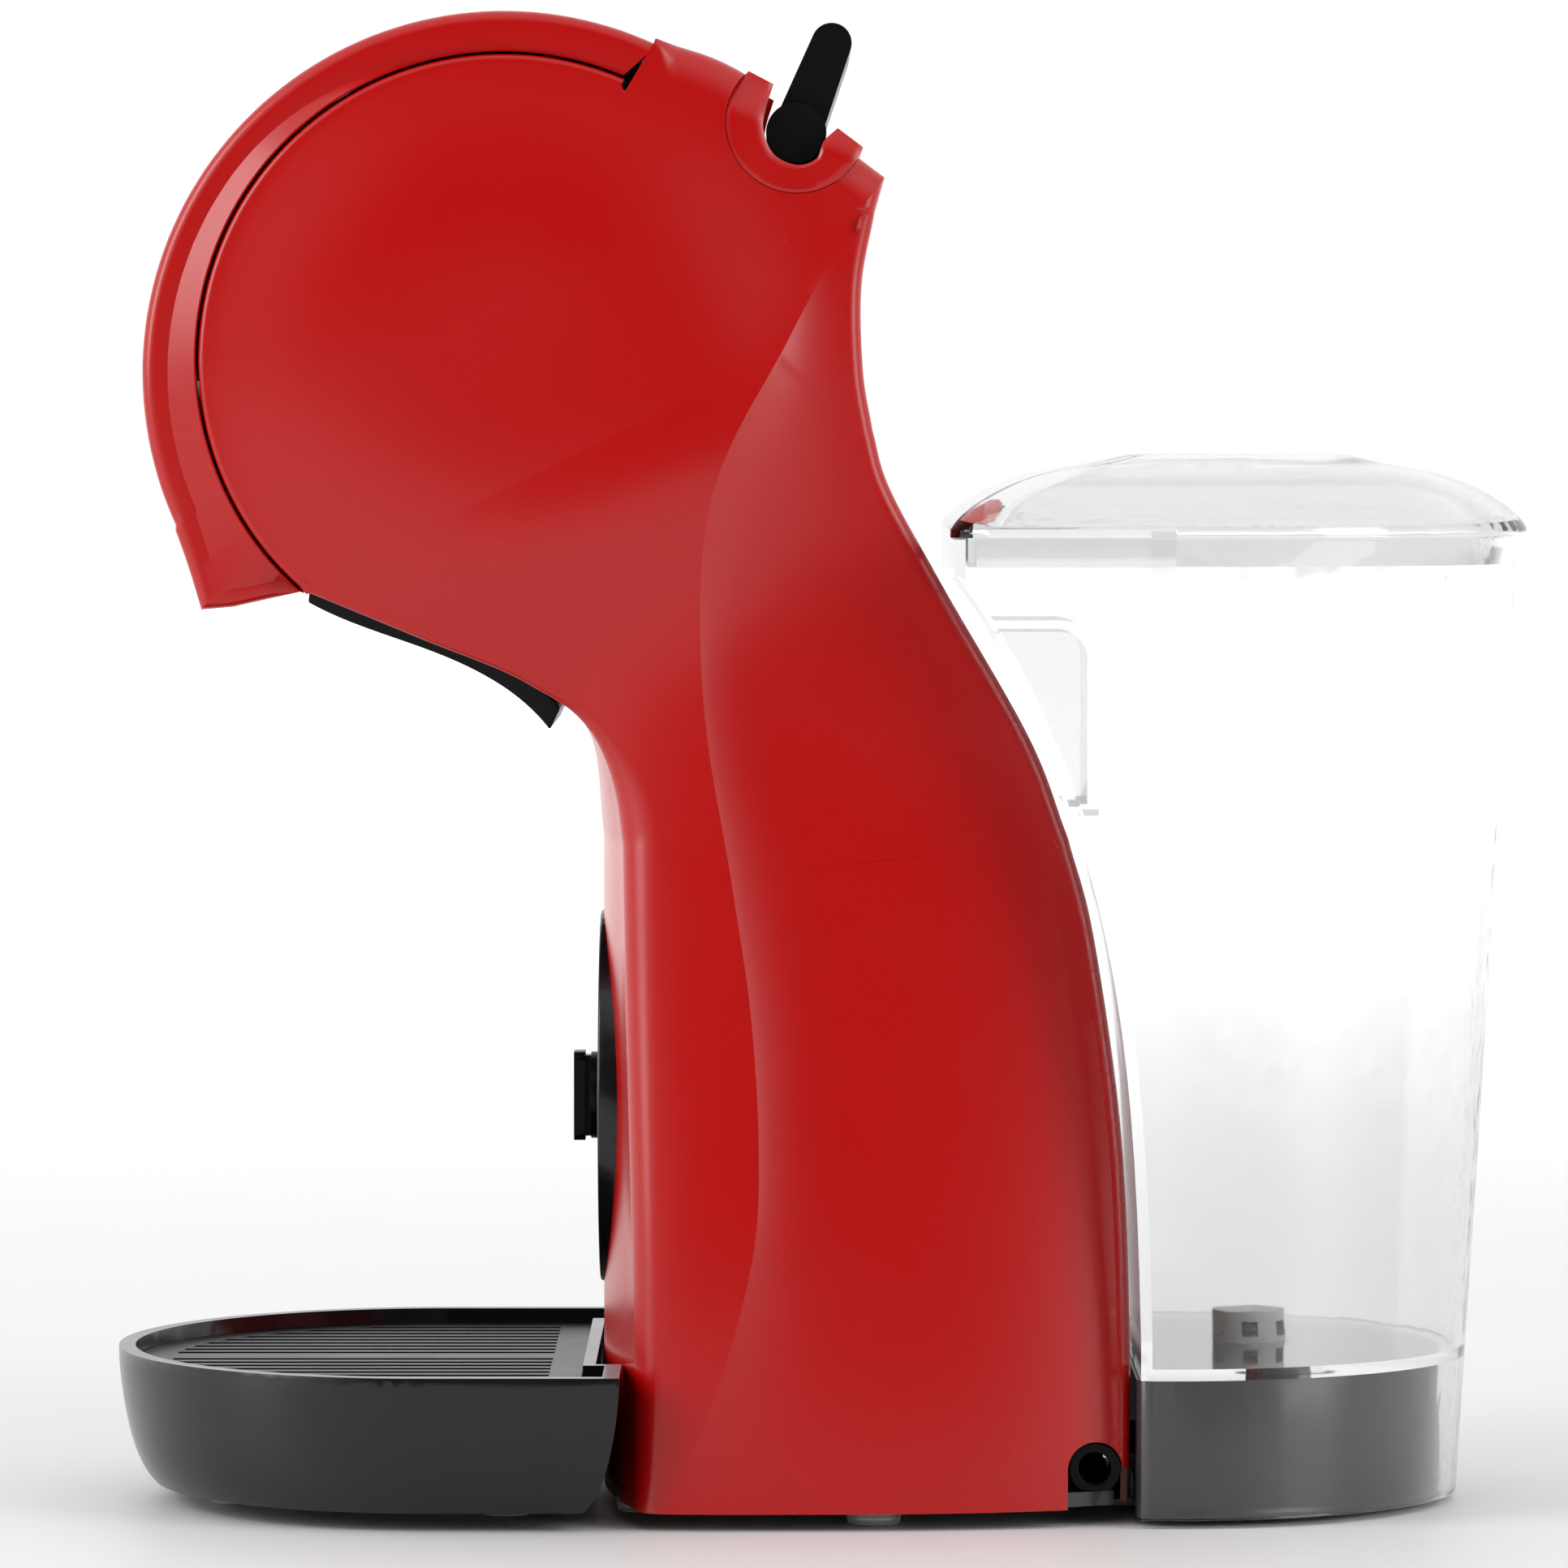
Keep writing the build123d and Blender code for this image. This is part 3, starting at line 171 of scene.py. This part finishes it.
def solid_material(name, color, rough, spread=0.04, tint=0.06, grain=900, bump=0.05,
                   metallic=0.0, specular=0.5):
    """A moulded or metal surface: slightly uneven colour and roughness, and a fine grain."""
    mat, nodes, links, shader = new_material(name)
    mix = nodes.new("ShaderNodeMix")
    mix.data_type = "RGBA"
    mix.inputs["A"].default_value = (*[c * (1 - tint) for c in color], 1)
    mix.inputs["B"].default_value = (*[min(1, c * (1 + tint)) for c in color], 1)
    links.new(noise(nodes, links, 14), mix.inputs["Factor"])
    links.new(mix.outputs["Result"], shader.inputs["Base Color"])
    uneven = ranged(nodes, links, noise(nodes, links, 60), rough - spread, rough + spread)
    links.new(uneven, shader.inputs["Roughness"])
    relief = nodes.new("ShaderNodeBump")
    relief.inputs["Strength"].default_value = bump
    relief.inputs["Distance"].default_value = 0.0002
    links.new(noise(nodes, links, grain, 2), relief.inputs["Height"])
    links.new(relief.outputs["Normal"], shader.inputs["Normal"])
    shader.inputs["Metallic"].default_value = metallic
    shader.inputs["Specular IOR Level"].default_value = specular
    return mat


def clear_material(name, color, rough=0.03, ior=1.45, opacity=0.0):
    """Clear moulded plastic, faintly uneven."""
    mat, nodes, links, shader = new_material(name)
    mix = nodes.new("ShaderNodeMix")
    mix.data_type = "RGBA"
    mix.inputs["A"].default_value = (*[c * 0.985 for c in color], 1)
    mix.inputs["B"].default_value = (*color, 1)
    links.new(noise(nodes, links, 10), mix.inputs["Factor"])
    links.new(mix.outputs["Result"], shader.inputs["Base Color"])
    uneven = ranged(nodes, links, noise(nodes, links, 40), rough, rough + 0.03)
    links.new(uneven, shader.inputs["Roughness"])
    relief = nodes.new("ShaderNodeBump")
    relief.inputs["Strength"].default_value = 0.02
    relief.inputs["Distance"].default_value = 0.0002
    links.new(noise(nodes, links, 60, 2), relief.inputs["Height"])
    links.new(relief.outputs["Normal"], shader.inputs["Normal"])
    shader.inputs["Transmission Weight"].default_value = 1.0 - opacity
    shader.inputs["IOR"].default_value = ior
    return mat


RED = (0.45, 0.0012, 0.0008)
MATERIALS = {
    "red_shell": solid_material("red_shell", RED, 0.27, 0.02, 0.012, 1500, 0.02, specular=0.5),
    "black_gloss": solid_material("black_gloss", (0.006, 0.006, 0.007), 0.2, 0.04, 0.1, 900, 0.03),
    "black_satin": solid_material(
        "black_satin", (0.004, 0.004, 0.0045), 0.3, 0.04, 0.12, 1800, 0.02, specular=0.14),
    "dark_grey": solid_material("dark_grey", (0.035, 0.035, 0.036), 0.24, 0.01, 0.03, 400, 0.004),
    "coral_mark": solid_material("coral_mark", (0.78, 0.07, 0.05), 0.4, 0.05, 0.05, 1200, 0.08),
    "clear_plastic": clear_material("clear_plastic", (0.92, 0.924, 0.926)),
    "clear_light": clear_material("clear_light", (0.9, 0.93, 0.9), 0.12),
    "pale_plastic": solid_material("pale_plastic", (0.6, 0.6, 0.58), 0.42, 0.05, 0.05, 1500, 0.1),
    "white_valve": solid_material("white_valve", (0.75, 0.76, 0.76), 0.35, 0.05, 0.03, 1500, 0.06),
    "clear_rubber": clear_material("clear_rubber", (0.9, 0.91, 0.91), 0.18, 1.42, 0.35),
    "silicone": solid_material("silicone", (0.55, 0.55, 0.52), 0.45, 0.06, 0.05, 700, 0.1),
    "steel": solid_material("steel", (0.62, 0.62, 0.63), 0.28, 0.08, 0.04, 1200, 0.06, metallic=1.0),
    "cast_aluminium": solid_material(
        "cast_aluminium", (0.6, 0.61, 0.62), 0.45, 0.08, 0.06, 500, 0.3, metallic=1.0),
    "coil_black": solid_material("coil_black", (0.03, 0.03, 0.035), 0.45, 0.06, 0.12, 1200, 0.15),
    "board_green": solid_material("board_green", (0.012, 0.1, 0.035), 0.35, 0.06, 0.15, 400, 0.15),
}


def paint(obj, slot):
    """Gives a piece the material of its slot."""
    obj.data.materials.clear()
    obj.data.materials.append(MATERIALS[slot])


def soften(obj, width, segments=3, limit=35):
    """Rounds the sharp edges of a carried-over piece."""
    weld = obj.modifiers.new("weld", "WELD")
    weld.merge_threshold = 0.000002
    bevel = obj.modifiers.new("edge", "BEVEL")
    bevel.width = width
    bevel.segments = segments
    bevel.limit_method = "ANGLE"
    bevel.angle_limit = radians(limit)
    bevel.harden_normals = True


for part in frame["record"]["subparts"]:
    paint(frame["nodes"][part["node"]], part["material_slot"])


SOFT_EDGES = {
    "locking_lever": 2.6, "selector_knob": 0.5, "power_button": 0.4, "control_panel": 0.6,
    "tank_stand": 0.9, "drip_tray": 0.8, "drip_grid": 0.3, "underside_cover": 0.4,
    "cord_gland": 0.4, "holder_face": 0.4, "tank_lid": 0.4,
}
for node_name, width_mm in SOFT_EDGES.items():
    soften(frame["nodes"][node_name], width_mm * MM)


# ---- body panels ---------------------------------------------------------------------------
def mesh_object(name, mesh, body, slot, *nodes):
    """Makes a piece from a bmesh in millimetres, which stands for CAD nodes and rides on a body."""
    bmesh.ops.remove_doubles(mesh, verts=mesh.verts, dist=0.005)
    bmesh.ops.recalc_face_normals(mesh, faces=mesh.faces)
    bmesh.ops.scale(mesh, vec=(MM, MM, MM), verts=mesh.verts)
    data = bpy.data.meshes.new(name)
    mesh.to_mesh(data)
    mesh.free()
    obj = bpy.data.objects.new(name, data)
    bpy.context.scene.collection.objects.link(obj)
    if body:
        paint(obj, slot)
        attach(obj, body)
        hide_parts(*nodes)
    return obj


def skin(mesh, rows):
    """Quads over rows of points, all rows with the same count."""
    grid = [[mesh.verts.new(p) for p in row] for row in rows]
    for low, high in zip(grid, grid[1:]):
        for i in range(len(low) - 1):
            mesh.faces.new((low[i], low[i + 1], high[i + 1], high[i]))
    return grid


def join_loops(mesh, loops, capped=True):
    """Faces between closed loops of vertices, all with the same count, and over the two ends."""
    count = len(loops[0])
    for low, high in zip(loops, loops[1:]):
        for i in range(count):
            j = (i + 1) % count
            mesh.faces.new((low[i], low[j], high[j], high[i]))
    if capped:
        mesh.faces.new(loops[0])
        mesh.faces.new(loops[-1])


def prism(name, outline, x0, x1):
    """A cutter: a side outline between two X values."""
    mesh = bmesh.new()
    join_loops(mesh, [[mesh.verts.new((x, y, z)) for y, z in outline] for x in (x0, x1)])
    return mesh_object(name, mesh, None, None)


def panel_cutter():
    """A round cutter through the column's front, for the control panel."""
    mesh = bmesh.new()
    rim = arc((0, PANEL_Z), PANEL_R + CUT_GAP, 0, 357, 119)
    join_loops(mesh, [[mesh.verts.new((x, y, z)) for x, z in rim] for y in (-60, -36)])
    return mesh_object("cut_panel", mesh, None, None)


def bake(obj, wall=0.0, cutters=(), sharp=11.0):
    """Thickens and cuts a piece, removes the cutters, and shades it smooth up to an angle."""
    if wall:
        solid = obj.modifiers.new("wall", "SOLIDIFY")
        solid.thickness = wall * MM
        solid.offset = -1
    for cutter in cutters:
        cut = obj.modifiers.new("cut", "BOOLEAN")
        cut.operation = "DIFFERENCE"
        cut.solver = "EXACT"
        cut.object = cutter
    bpy.context.view_layer.update()
    data = bpy.data.meshes.new_from_object(obj.evaluated_get(bpy.context.evaluated_depsgraph_get()))
    obj.modifiers.clear()
    mesh = bmesh.new()
    mesh.from_mesh(data)
    for face in mesh.faces:
        face.smooth = True
    for edge in mesh.edges:
        edge.smooth = edge.calc_face_angle(pi) < radians(sharp)
    mesh.to_mesh(data)
    mesh.free()
    obj.data = data
    for cutter in cutters:
        bpy.data.objects.remove(cutter)


ROUND_STEPS = 12
RIM_STEPS = 10
FRONT_CELLS, REAR_CELLS = 34, 34


def rounding(point, normal, x, deep, wide, stop, bow=0.0):
    """A rounded edge from the rim to the side surface. The rim bows inwards away from X = 0."""
    start = bow_depth(bow, x - wide)
    out = []
    for i in range(ROUND_STEPS + 1):
        a = radians(stop * i / ROUND_STEPS)
        go = start + (deep - start) * (1 - cos(a)) / (1 - cos(radians(stop)))
        rise = wide * (1 - sin(a) / sin(radians(stop)))
        out.append((x - rise, point[0] + normal[0] * go, point[1] + normal[1] * go))
    return out


def bow_depth(bow, x):
    """How far the rim has bowed inwards at this X."""
    return bow * (x / PANEL_R) ** 2


def side_row(front, front_in, rear, rear_in, crease, ridge, edges):
    """One line over the side: front rim, rounded edge, creased surface, rounded edge, rear rim."""
    (deep_f, wide_f, stop_f, low_f, bow), (deep_r, wide_r, stop_r) = edges
    a = (front[0] + front_in[0] * deep_f, front[1] + front_in[1] * deep_f)
    b = (rear[0] + rear_in[0] * deep_r, rear[1] + rear_in[1] * deep_r)
    line = []
    for i in range(FRONT_CELLS + 1):
        y, z = between(a, crease, i / FRONT_CELLS)
        line.append((body_x(y, z) + ridge * exp(-dist((y, z), crease) / 60.0), y, z))
    for i in range(1, REAR_CELLS + 1):
        y, z = between(crease, b, (i / REAR_CELLS) ** 1.3)
        line.append((body_x(y, z) + ridge * exp(-dist((y, z), crease) / 10.0), y, z))
    row = rounding(front, front_in, line[0][0], deep_f, wide_f, stop_f, bow)[:-1] + line
    row += rounding(rear, rear_in, line[-1][0], deep_r, wide_r, stop_r)[-2::-1]
    x_f, x_r = row[0][0], row[-1][0]
    start = []
    for i in range(RIM_STEPS):
        x = low_f + (x_f - low_f) * i / RIM_STEPS
        bowed = bow_depth(bow, x)
        start.append((x, front[0] + front_in[0] * bowed, front[1] + front_in[1] * bowed))
    end = [(0.05 + (x_r - 0.05) * i / RIM_STEPS, *rear) for i in range(RIM_STEPS)]
    return start + row + end[::-1]


def side_rows():
    """Lines over the left side from the step behind the hood down to the foot."""
    top = spline([STEP_OUT, (-14.6, 273.0), REAR_CORNER])
    start = degrees(atan2(STEP_IN[1] - CHEEK[1], STEP_IN[0] - CHEEK[0]))
    sections = [
        (arc(CHEEK, CHEEK_R, start, 180), top, spline(UNDER_BAND), 56),
        (arc(CHEEK, CHEEK_R, 180, 229.2), spline(NECK), spline(CREASE_HEAD), 30),
        (spline(UNDERSIDE), spline(FLANK), spline(CREASE_WAIST), 44),
        ([UNDERSIDE[-1], (COLUMN_FRONT, COLUMN_FOOT)], spline(REAR), spline(CREASE_FLANK), 64),
    ]
    rows = []
    for number, (front, rear, crease, count) in enumerate(sections):
        front, rear = resample(front, count), resample(rear, count)
        front_in, rear_in = inward(front, 1), inward(rear, -1)
        creases = resample(crease, count)
        for i in range(count):
            z = creases[i][1]
            ridge = 4.2 * smooth((246 - z) / 50.0) * (0.3 + 0.7 * smooth(z / 60.0))
            down = smooth((158 - front[i][1]) / 26.0) if number > 1 else 0.0
            low = 38.0 if number < 2 else 0.05
            front_edge = (1.4 + 9.1 * down, 1.4 + 6.1 * down, 88 - 14 * down, low, 3.1 * down)
            roll = smooth((dist(front[i], rear[i]) - 8.0) / 14.0)
            rear_edge = (1.0 + 5.6 * roll, 1.0 + 4.5 * roll, 72) if number == 0 else (2.6, 2.6, 88)
            edges = (front_edge, rear_edge)
            rows.append(side_row(front[i], front_in[i], rear[i], rear_in[i], creases[i], ridge, edges))
    return [[(max(0.05, x - 8), y, z) for x, y, z in rows[0]]] + rows


def add_side(name, node, sign):
    """A moulded side shell, cut for the saddle and the panel, and on one side for the cord."""
    mesh = bmesh.new()
    skin(mesh, [[(x * sign, y, z) for x, y, z in row] for row in side_rows()])
    shell = mesh_object(name, mesh, "chassis", "red_shell", node)
    cutters = [prism("cut_saddle", arc(SADDLE, SADDLE_R + CUT_GAP, 0, 354, 59), -90, 90), panel_cutter()]
    if sign > 0:
        notch = [(70, -5), (70, 10.7)] + arc((51.2, 10.7), 5.2, 0, 180, 24) + [(46.0, -5)]
        cutters.append(prism("cut_notch", notch, 39.7, 90))
    bake(shell, WALL, cutters)


def hood_paths():
    """The hood's outer line and the cheek's edge beside it."""
    count_top, count_lip, count_base = 70, 16, 14
    top = arc(HEAD, HEAD_R, 64.8, 204.6)
    start = degrees(atan2(STEP_IN[1] - CHEEK[1], STEP_IN[0] - CHEEK[0])) + 0.4
    groove = CHEEK_R + 0.5
    outer = resample(top, count_top)
    inner = resample(arc(CHEEK, groove, start, 205), count_top)
    outer += resample(spline([LIP_START, LIP_MID, LIP_TIP]), count_lip)[1:]
    inner += resample(arc(CHEEK, groove, 205, 217), count_lip)[1:]
    outer += resample([LIP_TIP, LIP_HEEL, LIP_REAR], count_base)[1:]
    inner += resample(arc(CHEEK, groove, 217, 229.2), count_base)[1:]
    return outer, inner


def hood_profile(out, into, share):
    """Points around one side flange of the hood, from the window's edge over the side and back inside."""
    gap = dist(out, into)
    unit = ((into[0] - out[0]) / gap, (into[1] - out[1]) / gap)
    band = min(gap - 0.4, 5.0 + 4.0 * share)

    def at(d, x):
        return (x, out[0] + unit[0] * min(d, gap), out[1] + unit[1] * min(d, gap))
    side, corner = HOOD_HALF - 1.6 + 1.6 * share, 2.6
    corner = min(corner, band * 0.6)
    points = [at(0, WINDOW_HALF), at(0, 36), at(0, side - corner)]
    for i in range(1, 9):
        a = radians(90 * i / 8)
        points.append(at(corner * (1 - cos(a)), side - corner + corner * sin(a)))
    points += [at(band, side), at(gap - 0.3, HOOD_HALF + 0.8), at(gap, HOOD_HALF + 0.5)]
    points += [at(gap, HOOD_HALF - 3.0), at(HOOD_WALL, HOOD_HALF - 5.0), at(HOOD_WALL, WINDOW_HALF)]
    return points


def add_hood_strip(mesh, pairs, x0, x1):
    """The part of the hood's outer wall between two X values, which closes its window or base."""
    loops = []
    for out, into in pairs:
        gap = dist(out, into)
        wall = ((into[0] - out[0]) / gap * HOOD_WALL, (into[1] - out[1]) / gap * HOOD_WALL)
        if out[1] < 180 and out[0] > -116:
            wall = (0.0, HOOD_WALL)
        inside = (out[0] + wall[0], out[1] + wall[1])
        ring = [(x0, *out), (x1, *out), (x1, *inside), (x0, *inside)]
        loops.append([mesh.verts.new(p) for p in ring])
    join_loops(mesh, loops)


def add_hood():
    """Front hood: a rounded outer band, a bevel beside the cheek, and a window in front."""
    outer, inner = hood_paths()
    mesh = bmesh.new()
    for sign in (-1, 1):
        loops = []
        for i, (out, into) in enumerate(zip(outer, inner)):
            share = smooth(1.15 - i / 34.0)
            ring = [(x * sign, y, z) for x, y, z in hood_profile(out, into, share)]
            loops.append([mesh.verts.new(p) for p in ring])
        join_loops(mesh, loops)
    pairs = list(zip(outer, inner))
    top = [pair for pair in pairs if pair[0][0] > HEAD[0] - 34.2 and pair[0][1] > 250]
    base = [pair for pair in pairs if pair[0][1] < 185.6]
    lip = [pair for pair in base if pair[0][0] < -110.5]
    add_hood_strip(mesh, top, -WINDOW_HALF, WINDOW_HALF)
    add_hood_strip(mesh, base, -WINDOW_HALF, -SPOUT_HALF)
    add_hood_strip(mesh, base, SPOUT_HALF, WINDOW_HALF)
    add_hood_strip(mesh, lip, -SPOUT_HALF, SPOUT_HALF)
    hood = mesh_object("hood", mesh, "chassis", "red_shell", "front_hood")
    bake(hood, sharp=16)


def add_saddle():
    """The lever's U-shaped channel: two lugs joined under the hub, flush with the shells' rolled edge."""
    cells = 60
    outer = resample(arc(SADDLE, SADDLE_R + 0.2, 132.8, 339.7), cells)
    inner = resample(spline([(-9.3, 271.1), (-10.9, 265.8), (-11.1, 262.1), (-9.2, 257.8), (-4.9, 255.8),
                             (-1.2, 257.0), (0.2, 260.3), (2.8, 262.8)]), cells)
    mesh = bmesh.new()
    loops = []
    for out, into in zip(outer, inner):
        side = []
        for i in range(9):
            y, z = between(out, into, i / 8)
            over = smooth((z - 264.0 + 0.42 * (y + 14)) / 11.0)
            side.append((body_x(y, z) - 0.4 * (i in (0, 8)) + 0.2 - 4.2 * over, y, z))
        loops.append([mesh.verts.new(p) for p in side + [(-x, y, z) for x, y, z in side[::-1]]])
    join_loops(mesh, loops, capped=False)
    for loop in (loops[0], loops[-1]):
        for i in range(8):
            mesh.faces.new((loop[i], loop[i + 1], loop[16 - i], loop[17 - i]))
    saddle = mesh_object("saddle", mesh, "chassis", "red_shell", "lever_saddle")
    lean = [LEVER_LEAN - LEVER_SWING, LEVER_LEAN]
    low = [(LEVER_PIVOT[0] + HUB_ROOM * sin(radians(a)), LEVER_PIVOT[1] + HUB_ROOM * cos(radians(a)))
           for a in (lean[0] - 90, lean[1] + 90)]
    high = [(p[0] + 30 * sin(radians(a)), p[1] + 30 * cos(radians(a))) for p, a in zip(low, lean)]
    bake(saddle, cutters=[prism("cut_sweep", [low[0], high[0], high[1], low[1]], -39.6, 39.6),
                          prism("cut_hub", arc(LEVER_PIVOT, HUB_ROOM, 0, 354, 59), -41.5, 41.5)], sharp=30)


def add_lever_strip():
    """Coloured inlay across the lever's front face, which follows its rounded ends."""
    round_end = SOFT_EDGES["locking_lever"]
    ends = []
    for angle in range(75, 0, -15):
        a = radians(angle)
        ends.append((INLAY_HALF - round_end * (1 - sin(a)), round_end * (1 - cos(a))))
    line = ends + [(x, 0.0) for x in (30.0, 15.0, 0.0, -15.0, -30.0)] + [(-x, drop) for x, drop in ends[::-1]]
    up = (sin(radians(LEVER_LEAN)), cos(radians(LEVER_LEAN)))
    mesh = bmesh.new()
    rows = []
    for i in range(7):
        along = INLAY_START + INLAY_LENGTH * i / 6
        out = 4.7 - 0.9 * along / 18.2 + 0.12
        rows.append([(x, LEVER_PIVOT[0] + up[0] * along - up[1] * (out - drop),
                      LEVER_PIVOT[1] + up[1] * along + up[0] * (out - drop)) for x, drop in line])
    skin(mesh, rows)
    strip = mesh_object("lever_strip", mesh, "locking_lever", "coral_mark", "lever_mark")
    bake(strip, 0.25, sharp=30)


add_side("side_left", "left_shell", 1)
add_side("side_right", "right_shell", -1)
add_hood()
add_saddle()
add_lever_strip()


# ---- floor, light and camera ---------------------------------------------------------------
def floor_material():
    """Pale floor with painted light: an emission glow that rises behind the object, so the floor fades into
    the white background.
    """
    mat = solid_material("floor_white", (0.78, 0.78, 0.78), 0.5, 0.05, 0.01, 300, 0.02)
    nodes, links = mat.node_tree.nodes, mat.node_tree.links
    place = nodes.new("ShaderNodeTexCoord")
    split = nodes.new("ShaderNodeSeparateXYZ")
    links.new(place.outputs["Object"], split.inputs["Vector"])
    # painted light: the floor glows, more strongly the further it lies behind the object
    glow = sky_band(nodes, links, split.outputs["X"], -0.2, -2.5, 0.8)
    nodes["Principled BSDF"].inputs["Emission Color"].default_value = (1, 1, 1, 1)
    links.new(glow, nodes["Principled BSDF"].inputs["Emission Strength"])
    return mat


def add_floor():
    """A wide pale floor."""
    mesh = bmesh.new()
    half, cells = 12.0, 12
    for i in range(cells):
        for j in range(cells):
            corners = [(i, j), (i + 1, j), (i + 1, j + 1), (i, j + 1)]
            spots = [(u / cells * 2 * half - half, v / cells * 2 * half - half, 0) for u, v in corners]
            mesh.faces.new([mesh.verts.new(spot) for spot in spots])
    bmesh.ops.remove_doubles(mesh, verts=mesh.verts, dist=0.001)
    data = bpy.data.meshes.new("floor")
    mesh.to_mesh(data)
    floor = bpy.data.objects.new("floor", data)
    bpy.context.scene.collection.objects.link(floor)
    data.materials.append(floor_material())


def add_area(name, spot, target, size, power):
    """A soft rectangular lamp aimed at a point."""
    lamp = bpy.data.lights.new(name, "AREA")
    lamp.shape = "RECTANGLE"
    lamp.size, lamp.size_y = size
    lamp.energy = power
    obj = bpy.data.objects.new(name, lamp)
    obj.location = spot
    obj.rotation_euler = (Vector(target) - Vector(spot)).to_track_quat("-Z", "Y").to_euler()
    bpy.context.scene.collection.objects.link(obj)


def sky_band(nodes, links, value, low, high, strength):
    """Brightness that rises from 0 at low to strength at high, as value goes from one to the other."""
    node = nodes.new("ShaderNodeMapRange")
    node.interpolation_type = "SMOOTHSTEP"
    node.inputs["From Min"].default_value = low
    node.inputs["From Max"].default_value = high
    node.inputs["To Max"].default_value = strength
    links.new(value, node.inputs["Value"])
    return node.outputs["Result"]


def add_world():
    """A dark studio in front, with soft white bands behind, above and at both sides."""
    world = bpy.data.worlds.new("studio")
    world.use_nodes = True
    nodes, links = world.node_tree.nodes, world.node_tree.links
    place = nodes.new("ShaderNodeTexCoord")
    split = nodes.new("ShaderNodeSeparateXYZ")
    links.new(place.outputs["Generated"], split.inputs["Vector"])
    bands = [
        sky_band(nodes, links, split.outputs["X"], 0.0, -0.6, 0.97),
        sky_band(nodes, links, split.outputs["Z"], 0.45, 0.95, 0.9),
    ]
    for sideways in (-0.87, 0.87):
        wall = nodes.new("ShaderNodeVectorMath")
        wall.operation = "DOT_PRODUCT"
        wall.inputs[1].default_value = (0, sideways, 0.45)
        links.new(place.outputs["Generated"], wall.inputs[0])
        bands.append(sky_band(nodes, links, wall.outputs["Value"], 0.36, 0.8, 1.0))
    total = bands[0]
    for band in bands[1:]:
        add = nodes.new("ShaderNodeMath")
        add.operation = "MAXIMUM"
        links.new(total, add.inputs[0])
        links.new(band, add.inputs[1])
        total = add.outputs["Value"]
    add = nodes.new("ShaderNodeMath")
    add.operation = "ADD"
    links.new(total, add.inputs[0])
    add.inputs[1].default_value = 0.06
    nodes["Background"].inputs["Color"].default_value = (1, 1, 1, 1)
    links.new(add.outputs["Value"], nodes["Background"].inputs["Strength"])
    bpy.context.scene.world = world


def add_camera():
    """Looks along -X from the machine's left, slightly above its middle."""
    camera = bpy.data.cameras.new("camera")
    camera.sensor_width = 36
    camera.lens = 202
    obj = bpy.data.objects.new("camera", camera)
    obj.location = EYE
    look = Vector(EYE_TARGET) - Vector(EYE)
    obj.rotation_euler = look.to_track_quat("-Z", "Y").to_euler()
    bpy.context.scene.collection.objects.link(obj)
    bpy.context.scene.camera = obj


bpy.context.scene.view_settings.view_transform = "Standard"
add_floor()
add_world()
add_area("key_left", (0.55, -1.5, 0.8), (0, -0.06, 0.2), (0.7, 1.2), 14)
add_area("key_right", (0.9, 1.4, 0.7), (0, 0.05, 0.12), (0.7, 1.2), 10)
add_camera()
